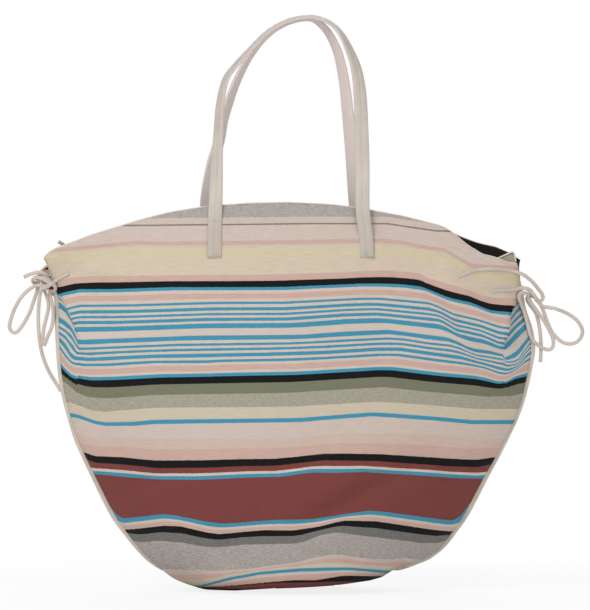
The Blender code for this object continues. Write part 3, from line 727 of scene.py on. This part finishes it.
def cloth_surface(rows, columns, side, lapped=True):
    """Points of the cloth for arrays of row (0 base to 12 mouth) and column (-1 to 1)."""
    z_edge, z_mid = row_value(rows, 0) * HEIGHT, row_value(rows, 1) * HEIGHT
    full = row_value(rows, 2)
    tuck = SEAM_TUCK * (1 - 0.22 * ease(5, 7, rows)) * ease(1.2, 2.4, rows) * (1 - past_tie(rows))
    raised = z_edge + RIGHT_RISE * near_sole(rows)
    left = edge_x(z_edge, LEFT_EDGE if side == FRONT else BACK_LEFT_EDGE) + tuck
    right = edge_x(raised, RIGHT_EDGE if side == FRONT else BACK_RIGHT_EDGE) - tuck
    turn = columns * math.pi / 2
    x = (left + right) / 2 + (right - left) / 2 * np.sin(turn)
    rest = np.where(rows < BELLY_ROW, BASE_HALF, MOUTH_HALF)
    depth = rest + full * (BELLY_HALF - rest)
    open_half = SEAM_HALF + (VENT_HALF - SEAM_HALF) * ease(TIE_ROW, MOUTH_ROW, rows)
    y = side * (open_half + (depth - open_half) * np.maximum(np.cos(turn), 0) ** FLATNESS)
    z = z_mid + (z_edge - z_mid) * np.abs(np.sin(turn)) ** SWEEP

    # The mouth's own line, which sags at the front right.
    top = np.array([list(spot(*dot)) for dot in (FRONT_TOP if side == FRONT else BACK_TOP)])
    plain = HEIGHT + (ROWS[-1, 0] * HEIGHT - HEIGHT) * np.abs(np.sin(turn)) ** SWEEP
    z = z + (np.interp(x, top[:, 0], top[:, 2]) - plain) * ease(8.2, 12, rows) ** 1.5
    # The filled base is round underneath, and rises towards the right.
    sole = BASE_HALF * np.maximum(np.cos(turn), 0) ** FLATNESS
    ground = ROWS[0, 0] * HEIGHT * np.abs(np.sin(turn)) ** SWEEP
    z = z + (ground_level(x, sole) - ground) * near_sole(rows)
    free = ease(0, 0.12, np.cos(turn))
    y = y + side * fold_height(x, z, side) * free * ease(-0.5, 1.0, rows)
    if side == FRONT and lapped:
        across, down = dots(x, y, z)
        for hand, edge, _, _ in LAPS:
            far, along = distance_to(across, down, lap_root(hand, edge))
            far = far * hand
            reach = lap_strength(along)
            over = ease(-0.4, 0.4, far)
            rise = over * np.exp(-np.maximum(far, 0) / RISE_FADE)
            rise -= 0.6 * (1 - over) * np.exp(np.minimum(far, 0) / SINK_FADE)
            y = y - LAP_RISE * rise * reach * free
            x = x - hand * LAP * DOT * over * np.exp(-np.maximum(far, 0) / PULL_FADE) * reach
    return np.stack([x, y, z], -1)


def blurred(field, spread, axis):
    reach = np.arange(-round(3 * spread), round(3 * spread) + 1)
    weights = np.exp(-0.5 * (reach / spread) ** 2)
    weights /= weights.sum()
    margins = [(len(reach) // 2,) * 2 if k == axis else (0, 0) for k in (0, 1)]
    padded = np.pad(field, margins, mode="edge")
    return np.apply_along_axis(lambda line: np.convolve(line, weights, "valid"), axis, padded)


TABLE_TOP, TABLE_FOOT, FIRST_LEVEL = 190.0, 660.0, 205.0


def stripe_table():
    """The stripe row seen at each half dot down from TABLE_TOP and at each dot across."""
    places, rows = np.arange(0.0, DOTS_WIDE), np.arange(FIRST_LEVEL, TABLE_FOOT, 0.5)
    levels = sorted(HANGING_EDGES)
    lines = np.stack([np.interp(places, *zip(*HANGING_EDGES[level])) for level in levels])
    falls = np.stack([np.interp(rows, levels, column) for column in lines.T], -1)
    falls = blurred(blurred(falls, 1.2, 1), 2.0, 0)
    seen = np.maximum.accumulate(rows[:, None] + falls + 1e-4 * rows[:, None], axis=0)
    downs = np.arange(TABLE_TOP, TABLE_FOOT, 0.5)
    return np.stack([np.interp(downs, column, rows) for column in seen.T], -1)


def look_up(table, across, down):
    """Values of a table between its whole dots across and half dots down."""
    i = np.clip((down - TABLE_TOP) * 2, 0, len(table) - 1.001)
    j = np.clip(across, 0, DOTS_WIDE - 1.001)
    i0, j0 = i.astype(int), j.astype(int)
    u, v = i - i0, j - j0
    return ((table[i0, j0] * (1 - v) + table[i0, j0 + 1] * v) * (1 - u)
            + (table[i0 + 1, j0] * (1 - v) + table[i0 + 1, j0 + 1] * v) * u)


def stripe_row(points, under):
    """The stripe row at each point of the front, from where it is seen; under: the lap over it."""
    across, down = dots(points[..., 0], points[..., 1], points[..., 2])
    row = look_up(stripe_table(), across, down)
    for number, (_, _, rows, seen) in enumerate(LAPS):
        places = sorted(seen)
        lines = [np.interp(across, places, [seen[a][k] for a in places]) for k in range(len(rows))]
        lines = np.maximum.accumulate(np.array(lines), axis=0)
        low = np.zeros(across.shape)
        for k in range(len(rows) - 1):
            share = (down - lines[k]) / np.maximum(lines[k + 1] - lines[k], 0.3)
            found = rows[k] + np.clip(share, 0 if k else -0.6, 1) * (rows[k + 1] - rows[k])
            low = np.where((share >= 0) | (k == 0), found, low)
        hidden = (under == number + 1) & (down < lines[-1])
        row = np.where(hidden, low, row)
    return row


def under_laps(rows, columns):
    """Which lap's under layer each point of the front belongs to: 0 for none."""
    flat = cloth_surface(rows, columns, FRONT, lapped=False)
    across, down = dots(flat[..., 0], flat[..., 1], flat[..., 2])
    found = np.zeros(across.shape, int)
    for number, (hand, edge, _, _) in enumerate(LAPS):
        root = lap_root(hand, edge)
        far, _ = distance_to(across, down, root)
        beside = np.interp(down, [d for _, d in root], [a for a, _ in root])
        outside = np.where(down < root[-1][1], far * hand < 0, (across - root[-1][0]) * hand < 0)
        near = (down > root[0][1] - 4) & ((across - beside) * hand < 6)
        found = np.where(outside & near, number + 1, found)
    return found


COLUMNS, FRONT_ROWS, BASE_ROWS, BACK_ROWS = 171, 160, 16, 84
OFF_GROUND = 0.0002


def make_cloth():
    across = np.linspace(-1, 1, COLUMNS)
    columns = 0.4 * across + 0.6 * np.arcsin(across) * 2 / math.pi  # closer in the middle
    front_grid, back_grid = (np.meshgrid(np.linspace(MOUTH_ROW, 0, rows), columns, indexing="ij")
                             for rows in (FRONT_ROWS, BACK_ROWS))
    front, back = cloth_surface(*front_grid, FRONT), cloth_surface(*back_grid, BACK)[::-1]
    share = np.linspace(0, 1, BASE_ROWS + 2)[1:-1][:, None, None]
    base = front[-1] * (1 - share) + back[0] * share
    # Its middle rests on the ground at the left and lifts off towards the right.
    level = np.maximum(ground_level(front[-1, :, 0], 0), CLOTH + OFF_GROUND)
    level = np.minimum(level, np.minimum(front[-1, :, 2], back[0, :, 2]))
    base[..., 2] = level + (base[..., 2] - level) * (2 * share[..., 0] - 1) ** 2
    points = np.concatenate([front, base, back])

    front_row = stripe_row(front, under_laps(*front_grid))
    base_row = front_row[-1] + (base[..., 1] - front[-1, :, 1]) / DOT
    back_row = CORNER_ROW + (back[..., 2] - spot(0, CORNER_DOWN).z) / DOT * BACK_STRETCH
    seam_row = front_row[-1] + (back[0, :, 1] - front[-1, :, 1]) / DOT
    drift = (seam_row - back_row[0])[None] * (1 - ease(0, 0.12, back[..., 2]))
    along = np.concatenate([front_row, base_row, back_row + drift]) * DOT
    return lay_grid("striped_cloth", points, points[..., 0], along)


cloth = make_cloth()
cloth_bvh = BVHTree.FromPolygons([v.co[:] for v in cloth.data.vertices],
                                 [p.vertices[:] for p in cloth.data.polygons])


def on_cloth(x, z, side, lift=0.0):
    """The point of the front or back straight in from (x, z), and the way out there."""
    hit, normal, _, _ = cloth_bvh.ray_cast(Vector((x, side * 0.5, z)), Vector((0, -side, 0)))
    if hit is None:
        hit, normal, _, _ = cloth_bvh.find_nearest(Vector((x, side * 0.02, z)))
    if normal.y * side < 0:
        normal = -normal
    return hit + normal * lift, normal


thicken(cloth, CLOTH, -1)
finish_piece(cloth, striped_cotton, "bag_body",
             ("front_panel", "back_panel", "base_panel"))


# ---- Lining --------------------------------------------------------------------------
LINING, LINING_GAP = 0.0005, 0.0008  # how thick it is, and how far inside the cloth it hangs
LINING_SLACK = 0.0055  # how much further in it hangs behind the laps
HEM_SHOWN = 0.13  # share of the row's half, at the back's left corner


def make_lining():
    rows, columns = np.linspace(MOUTH_ROW, 0, 60), np.linspace(-0.995, 0.995, 81)
    row_grid, column_grid = np.meshgrid(rows, columns, indexing="ij")
    sheets = []
    for side in (FRONT, BACK):
        inset = 0
        if side == BACK:  # the striped hem turned in at the back's left corner stays in sight
            inset = HEM_SHOWN * (1 - column_grid) * ease(TIE_ROW - 0.6, TIE_ROW + 0.1, row_grid)
        points = cloth_surface(row_grid, column_grid + inset, side, lapped=False)
        normal = unit(np.cross(np.gradient(points, axis=1), np.gradient(points, axis=0)))
        normal *= np.where(normal[..., 1:2] * side > 0, 1, -1)
        # Behind the laps it hangs a little further in, clear of their under layers.
        slack = LINING_SLACK * ease(0.55, 0.72, np.abs(column_grid)) * ease(6, 7, row_grid)
        slack *= ease(11, 10.2, row_grid)
        points = points - normal * (CLOTH + LINING_GAP + (slack[..., None] if side == FRONT else 0))
        points[..., 1] = side * np.maximum(points[..., 1] * side, 0.0002)
        points[..., 2] = np.maximum(points[..., 2], 0.0035)
        sheets.append(points)
    front, back = sheets[0], sheets[1][::-1]
    share = np.linspace(0, 1, 10)[1:-1][:, None, None]
    points = np.concatenate([front, front[-1] * (1 - share) + back[0] * share, back])
    return lay_grid("lining_sheet", points, points[..., 0], points[..., 2])


lining = make_lining()
thicken(lining, LINING, 0)
finish_piece(lining, lining_cotton, "bag_body", ("lining",))


# ---- Edging and side bindings --------------------------------------------------------
EDGING_WIDE, EDGING_THICK, EDGING_CORNER = 0.0030, CLOTH + 0.0012, 0.0010


def make_edging(name, side, replaced):
    """The folded tape along one panel's vent edges and mouth."""
    up = np.linspace(TIE_ROW - 0.2, MOUTH_ROW, 14)
    left = cloth_surface(up, np.full_like(up, -1.0), side)
    columns = np.linspace(-1, 1, 121)[1:-1]
    top = cloth_surface(np.full_like(columns, MOUTH_ROW), columns, side)
    right = cloth_surface(up[::-1], np.full_like(up, 1.0), side)
    line = np.concatenate([left, top, right])
    line[:, 1] -= side * CLOTH / 2
    if side == BACK:  # seen from inside, the lining reaches up to the edge
        line += (0, 0.0009, -0.0008)
    path, along = smooth_path(line[::2], 0.003)
    facing = np.tile([0.0, side, 0.0], (len(path), 1))
    outline = rounded(EDGING_WIDE, EDGING_THICK, EDGING_CORNER)
    piece = sweep(name, path, along, facing, outline)
    finish_piece(piece, edging_cotton, "bag_body", replaced)


make_edging("front_edging", FRONT, ("front_mouth_binding",))
make_edging("back_edging", BACK, ("back_mouth_binding",))


BINDING_WIDE, BINDING_THICK, BINDING_CORNER = 0.0088, 0.0048, 0.0018


def make_binding(name, edge, hand, replaced):
    """The folded leather strip over one side seam, from under the base to the tie."""
    rows = np.linspace(1.2 if hand < 0 else 0.5, TIE_ROW + 0.35, 60)
    heights = row_value(rows, 0) * HEIGHT + (RIGHT_RISE * near_sole(rows) if hand > 0 else 0)
    inset = BINDING_WIDE / 2 * (1 - 0.55 * past_tie(rows))
    # Its lower end slips in under the cloth.
    inset = inset + 0.006 * (1 - ease(rows[0], rows[0] + 0.7, rows))
    seam = np.stack([edge_x(heights, edge), 0 * rows, heights], -1)
    ahead = unit(np.gradient(seam, axis=0))
    inwards = np.stack([-hand * ahead[:, 2], 0 * rows, hand * ahead[:, 0]], -1)
    line = seam + inwards * inset[:, None]
    path, along = smooth_path(line[::3], 0.004)
    facing = np.tile([0.0, -1.0, 0.0], (len(path), 1))
    outline = rounded(BINDING_WIDE, BINDING_THICK, BINDING_CORNER)
    piece = sweep(name, path, along, facing, outline)
    finish_piece(piece, binding_leather, "bag_body", replaced)


make_binding("left_seam_binding", LEFT_EDGE, -1, ("left_side_binding",))
make_binding("right_seam_binding", RIGHT_EDGE, 1, ("right_side_binding",))


# The turned corner's rim and foot, as dots, each with its depth.
CORNER_RIM = [(497, 258.6), (505, 255), (513, 252), (514.8, 256), (515.8, 261.5)]
CORNER_FOOT = [(499, 262), (505, 264), (509, 266), (513, 267), (515, 267)]
RIM_DEPTH, FOOT_DEPTH = -0.0088, -0.0114
TURNED_ROW, TURNED_HEIGHT = 398, 0.38  # a row of the strip, and the height at which it lies there


def make_turned_corner():
    """The corner of the back's hem that stands up inside the mouth at the right."""
    rim = np.array([list(spot(*dot, RIM_DEPTH)) for dot in CORNER_RIM])
    foot = np.array([list(spot(*dot, FOOT_DEPTH)) for dot in CORNER_FOOT])
    share = np.linspace(0, 1, 5)[:, None, None]
    points = rim * (1 - share) + foot * share
    points[..., 1] += 0.002 * np.sin(np.linspace(0, math.pi, 5))[None]
    along = TURNED_ROW * DOT + 0.8 * (points[..., 2] - TURNED_HEIGHT)
    piece = lay_grid("turned_hem_corner", points, points[..., 0], along)
    thicken(piece, CLOTH, 0)
    finish_piece(piece, striped_cotton, "bag_body")
    path, along = smooth_path([spot(*dot, RIM_DEPTH - 0.0003) for dot in CORNER_RIM], 0.002)
    trim = sweep("turned_corner_edging", path, along, np.tile([0.0, -1.0, 0.0], (len(path), 1)),
                 rounded(0.0018, 0.0018, 0.0006))
    finish_piece(trim, edging_cotton, "bag_body")


make_turned_corner()


# ---- Handles -------------------------------------------------------------------------
HINGE_Z, HINGE_Y, APEX_Z, APEX_Y = 0.42515, 0.05205, 0.6575, 0.0100
STRAP_WIDE, STRAP_THICK = 0.0162, 0.0034
THREAD_RADIUS = 0.00026
STITCH_OFFSET, STITCH_SUNK = 0.0021, 0.0002  # of each row from the strap's middle, and into it
STRAP_PITCH, TAB_PITCH = 0.0034, 0.0026
# The straps' middle lines from the left tab to the right one: dots of the photograph across
# and down, and how many degrees the strap is rolled over there.
FRONT_STRAP = [
    (215, 258, 0), (215, 240, 0), (215, 220, 4), (215.5, 205, 16), (217, 161, 40),
    (218.5, 130, 54), (220, 105, 60), (225.5, 80, 68), (235.5, 65.5, 73), (251, 48.5, 76),
    (267, 32.5, 79), (286.7, 21, 80), (310, 16.8, 80), (326.5, 21, 78), (339.5, 31.7, 73),
    (350, 51.5, 58), (356.5, 70, 44), (360, 95, 27), (361.5, 130, 12), (362.5, 165, 4),
    (362.5, 205, 0), (364, 222, 0), (366, 240, 0), (366.5, 258, 0)]
BACK_STRAP = [
    (211, 258, 0), (210, 240, 0), (208, 222, 5), (207, 200, 18), (212.5, 165, 38),
    (219.5, 140, 48), (223.5, 120, 54), (229.7, 100, 58), (236, 83, 63), (243.8, 66.7, 68),
    (249.5, 57, 72), (255, 49.5, 76), (262.5, 40.5, 79), (272, 31.8, 81), (284, 24.3, 81),
    (297, 19.8, 81), (309, 18.5, 80), (317, 21.5, 77), (327, 31, 68), (335.7, 47, 60),
    (340.3, 62, 54), (344.7, 85, 48), (347.5, 110, 40), (351.5, 150, 28), (355.5, 203, 12),
    (358, 222, 4), (361, 240, 0), (363, 258, 0)]


def strap_profile():
    """A strap's outline: rounded folds, with the groove where its two edges meet in front."""
    wide, thick, edge, groove, deep = STRAP_WIDE / 2, STRAP_THICK / 2, 0.0012, 0.0008, 0.0007
    top = [(wide, 0.0), (wide - 0.0002, thick - edge * 0.5), (wide - edge, thick),
           (groove * 2.4, thick), (groove, thick - 0.0001), (0.0, thick - deep),
           (-groove, thick - 0.0001), (-groove * 2.4, thick),
           (-wide + edge, thick), (-wide + 0.0002, thick - edge * 0.5), (-wide, 0.0)]
    bottom = [(-wide + 0.0002, -thick + edge * 0.5), (-wide + edge, -thick), (0.0, -thick),
              (wide - edge, -thick), (wide - 0.0002, -thick + edge * 0.5)]
    return top + bottom


def strap_line(middle, side):
    """A strap's path and the way its face looks: flat on the cloth, then turned at the top."""
    points = []
    for across, down, _ in middle:
        z = spot(across, down).z
        if z < HINGE_Z - 0.004:
            place = spot(across, down, side * 0.05)
            points.append(on_cloth(place.x, place.z, side, STRAP_THICK / 2 + 0.0001)[0])
        else:
            climb = min(max((z - HINGE_Z) / (APEX_Z - HINGE_Z), 0), 1)
            points.append(spot(across, down, side * (HINGE_Y - (HINGE_Y - APEX_Y) * climb**1.25)))
    path, along = smooth_path(points, 0.0035)
    climb = np.clip((path[:, 2] - HINGE_Z) / (APEX_Z - HINGE_Z), 0, 1)
    ahead = unit(np.gradient(path, axis=0))
    facing = np.tile([0.0, float(side), 0.0], (len(path), 1))
    facing = unit(facing - ahead * np.sum(facing * ahead, axis=1, keepdims=True))
    across = np.cross(ahead, facing)
    steps = distances(np.array([list(p) for p in points]))
    rolled = np.interp(along / along[-1], steps / steps[-1], [turned for _, _, turned in middle])
    roll = side * np.radians(rolled)
    facing = facing * np.cos(roll)[:, None] + across * np.sin(roll)[:, None]
    return path, along, facing


def stitch_row(name, path, facing, offset, lift, pitch, body, blend=None):
    """A row of stitches beside a path; each is one slim bead that sinks in at both ends."""
    ahead, side, out = axes_along(path, facing)
    line = path + side * offset + out * lift
    gone = distances(line)
    bpy.ops.object.select_all(action="DESELECT")
    bpy.ops.mesh.primitive_cylinder_add(vertices=5, radius=THREAD_RADIUS, depth=pitch * 0.72)
    bead = bpy.context.object
    bpy.ops.object.mode_set(mode="EDIT")
    bpy.ops.mesh.select_all(action="SELECT")
    bpy.ops.mesh.bevel(offset=0.0002, segments=1, affect="EDGES")
    bpy.ops.object.mode_set(mode="OBJECT")
    shape = np.array([v.co[:] for v in bead.data.vertices])
    faces = [tuple(p.vertices) for p in bead.data.polygons]
    bpy.data.objects.remove(bead)
    points, all_faces = [], []
    for middle in np.arange(pitch, gone[-1] - pitch * 0.5, pitch):
        centre = [np.interp(middle, gone, line[:, k]) for k in range(3)]
        axes = [unit(np.array([np.interp(middle, gone, way[:, k]) for k in range(3)]))
                for way in (side, out, ahead)]
        start = len(points) * len(shape)
        points.append(np.array(centre) + shape @ np.array(axes))
        all_faces += [tuple(start + i for i in face) for face in faces]
    piece = new_piece(name, np.concatenate(points), all_faces)
    finish_piece(piece, sewing_thread, body)
    if blend:
        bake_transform(piece)


def make_handle(name, middle, side):
    path, along, facing = strap_line(middle, side)
    replaced = [f"{name}_handle"] + [f"{name}_{hand}_handle_tab" for hand in ("left", "right")]
    piece = sweep(f"{name}_strap", path, along, facing, strap_profile())
    finish_piece(piece, strap_leather, None, replaced)
    crossing = ("bag_body", f"{name}_handle",
                (0, side * HINGE_Y, HINGE_Z - 0.006), (0, side * HINGE_Y, HINGE_Z + 0.012))
    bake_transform(piece)
    for label, offset in (("left", -STITCH_OFFSET), ("right", STITCH_OFFSET)):
        stitch_row(f"{name}_strap_{label}_stitches", path, facing, offset,
                   STRAP_THICK / 2 - STITCH_SUNK, STRAP_PITCH, None, crossing)


# Dots down to the rows of stitches, and how far they reach to each side.
TAB_FOOT, TAB_TOP, TAB_REACH = 255.5, 222.0, 4.6


def make_tab_stitches(name, middle, side):
    """Two short rows across each sewn end: along the top seam and along the lower end."""
    for label, tab in (("left", middle[:4]), ("right", middle[-4:][::-1])):
        for place, down in (("lower", TAB_FOOT), ("upper", TAB_TOP)):
            across = float(np.interp(-down, [-d for _, d, _ in tab], [a for a, _, _ in tab]))
            ends = [spot(across + reach, down, side * 0.05) for reach in (-TAB_REACH, 0.0, TAB_REACH)]
            line = [on_cloth(end.x, end.z, side, STRAP_THICK + 0.0001) for end in ends]
            path, _ = smooth_path([point for point, _ in line], 0.001)
            facing = np.tile(unit(np.array(line[1][1])), (len(path), 1))
            row_name = f"{name}_{label}_tab_{place}_stitches"
            stitch_row(row_name, path, facing, 0.0, 0.0, TAB_PITCH, "bag_body")


make_handle("front", FRONT_STRAP, FRONT)
make_handle("back", BACK_STRAP, BACK)
make_tab_stitches("front", FRONT_STRAP, FRONT)
make_tab_stitches("back", BACK_STRAP, BACK)

# ---- Laces ---------------------------------------------------------------------------
LACE_WIDE, LACE_THICK, LACE_CORNER = 0.0042, 0.0029, 0.0012
# Each lace as dots across and down and its depth in millimetres; without a depth it lies on
# the cloth. It starts at its sewn end and stops at its loose one.
LACES = {
    "left_front_lace_strand": (FRONT, [
        (69.5, 273), (63, 276.5), (57, 280), (51.5, 284, -14), (45, 286.3, -12), (38.5, 285.3, -11),
        (34, 286.5, -7), (27.5, 290.8, -4), (20, 299, -3), (13.3, 311.7, -3), (10, 322.5, -3),
        (9.7, 328.3, -3), (12.3, 332, -3), (15.5, 332.7, -3), (19, 330, -3), (24, 323, -3),
        (30, 311.7, -3), (34, 300, -3), (37.5, 289, -3), (38.5, 282.5, 1), (36.5, 278.5, 3),
        (38.5, 276.3, -1), (44, 277.3, -6), (49.5, 280.8, -9), (50, 285, -12), (45.5, 287.5, -15),
        (41.5, 289.5, -12), (40, 295, -8), (39, 302, -6), (38.3, 318, -4), (39, 335, -3),
        (40.8, 348, -2), (44, 360, -1), (49, 371.7, 0), (55, 381.7, 1), (60.8, 391, 2)],
        ("front_left_lace_end", "left_front_lace", "left_outer_loop", "left_long_tail")),
    "left_back_lace_strand": (BACK, [
        (58.5, 241.5, 13), (64, 246, 15.5), (63, 256, 17), (58, 268, 17), (53.5, 277, 10),
        (50.5, 284, 1), (45, 286, 4), (37, 284.3, 4), (32.8, 281.5, -2), (34.5, 277.8, -8),
        (41, 278, -10.5), (48, 282, -13), (55, 286.3, -11), (54.5, 290.5, -5), (50.5, 291.5, -2),
        (50.3, 297, -4), (52.7, 306, -4), (53.3, 315, -4), (51.7, 326.7, -4), (47.5, 336.7, -4),
        (44, 345.5, -3.5), (42.6, 342, -3), (43.8, 328, -2.5), (46.5, 317, -2), (48.5, 308, -2),
        (47.8, 300, -2), (45.5, 293, -2), (43, 287, 2), (45, 281, 1), (47.5, 276.8, -3),
        (44.5, 274, -6), (39, 272.3, -6), (31.7, 273.7, -5), (24, 277, -4)],
        ("back_left_lace_end", "left_back_lace", "left_bow_knot", "left_lower_loop",
         "left_short_tail")),
    "right_front_lace_strand": (FRONT, [
        (490, 291.8), (499, 291), (508, 290), (516, 289), (523, 287.8, -14), (529.5, 289.5, -13),
        (534, 295, -10), (538, 301.5, -6), (543, 306.5, -4), (549, 307.5, -3), (556.5, 309, -3),
        (568, 314, -3), (577, 320.5, -3), (582, 328.7, -3), (582, 335, -3), (577.5, 341.5, -3),
        (569.7, 344, -3), (561.3, 341.5, -3), (553, 333.5, -3), (548, 323.7, -3), (543.8, 312, -3),
        (540, 303.5, -1), (535.5, 298, 2), (530.5, 295.7, 4), (527, 298, 3), (529, 303.5, 1),
        (533, 309, 0), (536.5, 315, 0), (539.7, 329, 1), (541, 345, 1), (540.5, 362, 1)],
        ("front_right_lace_end", "right_front_lace", "right_outer_loop", "right_short_tail")),
    "right_back_lace_strand": (BACK, [
        (492, 290), (502, 289), (511, 287.5), (519, 287, 13), (526, 288.5, 7), (531, 291.5, -2),
        (528, 294, -9), (522, 292.5, -11), (518.7, 296.5, -9), (520.5, 303, -7), (523, 309, -6),
        (526, 318.7, -6), (528.8, 330, -6), (532, 338.7, -5), (536.3, 343.7, -4), (541.3, 347.3, -4),
        (548, 349.8, -4), (552.3, 347.8, -4), (553.5, 342, -4), (551, 333.7, -4), (544.7, 322, -5),
        (536.3, 310, -5), (530.5, 302, -6), (528.3, 296, -8), (531, 291.8, -15), (534.5, 295.5, -16),
        (536.5, 300.5, -11), (540.3, 301.5, -6), (543, 298, -4), (541.8, 293.5, -6), (538, 288.5, -9),
        (532, 281.5, -12), (523, 274.5, -15), (512, 270.8), (500, 269.3), (485, 268.8), (471, 271.3),
        (456.5, 277)],
        ("back_right_lace_end", "right_back_lace", "right_bow_knot", "right_lower_loop",
         "right_long_tail")),
}


def lace_point(side, across, down, depth=None):
    """Where a lace passes: in the air at its depth, or else lying on the cloth."""
    if depth is not None:
        return spot(across, down, depth * 0.001)
    # The right back lace's tail, above its bow, comes to lie on the front.
    surface = FRONT if down < 280 else side
    place = spot(across, down, surface * 0.012)
    return on_cloth(place.x, place.z, surface, LACE_THICK / 2 + 0.0004)[0]


def make_lace(name, side, route, replaced):
    """One lace along its route, lying on the cloth wherever its places have no depth."""
    points = [lace_point(side, *step) for step in route]
    path, along = smooth_path(points, 0.0024)
    ahead = unit(np.gradient(path, axis=0))
    facing = np.tile([0.0, -1.0, 0.0], (len(path), 1))
    facing = facing - ahead * np.sum(facing * ahead, axis=1, keepdims=True)
    for _ in range(6):  # where the lace points at the eye its face follows its neighbours
        facing[1:-1] = facing[1:-1] + 0.5 * (facing[:-2] + facing[2:])
        facing = facing - ahead * np.sum(facing * ahead, axis=1, keepdims=True)
        facing = unit(facing)
    piece = sweep(name, path, along, facing, rounded(LACE_WIDE, LACE_THICK, LACE_CORNER, 2))
    finish_piece(piece, lace_leather, "bag_body", replaced)


for lace_name, (side, route, replaced) in LACES.items():
    make_lace(lace_name, side, route, replaced)


# ---- Floor, backdrop and light -------------------------------------------------------
def make_floor():
    made = bpy.data.materials.new("matt_white_floor")
    made.use_nodes = True
    tree = made.node_tree
    tree.nodes.remove(tree.nodes["Principled BSDF"])
    diffuse = add(made, "BsdfDiffuse", {"Color": (0.9, 0.9, 0.9, 1)}).outputs[0]
    white = add(made, "Emission", {"Color": (1, 1, 1, 1), "Strength": 1.0}).outputs[0]
    eye = add(made, "LightPath").outputs["Is Camera Ray"]
    # The camera sees its shadow much weakened, as on a table lit from below.
    both = add(made, "MixShader", {0: calc(made, "MULTIPLY", eye, 0.84), 1: diffuse, 2: white})
    # Further off the floor runs into the white backdrop.
    place = add(made, "TexCoord").outputs["Object"]
    away = add(made, "VectorMath", {0: place}, operation="LENGTH").outputs["Value"]
    far = calc(made, "MULTIPLY", ranged(made, away, 0.3, 0.8, interpolation_type="SMOOTHSTEP"), eye)
    faded = add(made, "MixShader", {0: far, 1: both.outputs[0], 2: white}).outputs[0]
    feed(made, tree.nodes["Material Output"], {"Surface": faded})
    bpy.ops.object.select_all(action="DESELECT")
    bpy.ops.mesh.primitive_plane_add(size=12.0, location=(0, 0, 0))
    floor = bpy.context.object
    floor.name = "floor"
    choose(floor)
    bpy.ops.object.transform_apply(location=True, rotation=True, scale=True)
    floor.data.materials.append(made)


make_floor()
world = bpy.data.worlds.new("studio")
bpy.context.scene.world = world
world.use_nodes = True
ray = add(world, "LightPath").outputs
seen = calc(world, "MAXIMUM", ray["Is Camera Ray"], ray["Is Transmission Ray"])
feed(world, world.node_tree.nodes["Background"], {
    "Color": (1, 1, 1, 1), "Strength": ranged(world, seen, 0.0, 1.0, 0.56, 1.0)})


def lamp(name, place, target, size, power):
    data = bpy.data.lights.new(name, "AREA")
    data.shape = "SQUARE"
    data.size = size
    data.energy = power
    light = bpy.data.objects.new(name, data)
    light.location = place
    light.rotation_euler = (Vector(target) - Vector(place)).to_track_quat("-Z", "Y").to_euler()
    bpy.context.scene.collection.objects.link(light)


lamp("key", (-1.3, -1.9, 1.9), (0, 0, 0.25), 0.9, 28.5)
lamp("fill", (1.8, -1.6, 0.9), (0, 0, 0.25), 1.4, 6)
lamp("rim", (0.2, 2.0, 1.6), (0, 0, 0.3), 1.6, 20)
lamp("low_left", (-1.1, -1.9, 0.3), (0, 0, 0.08), 0.5, 3.0)
lamp("low_right", (1.1, -1.9, 0.3), (0, 0, 0.08), 0.5, 3.0)

bpy.context.scene.view_settings.view_transform = "Standard"
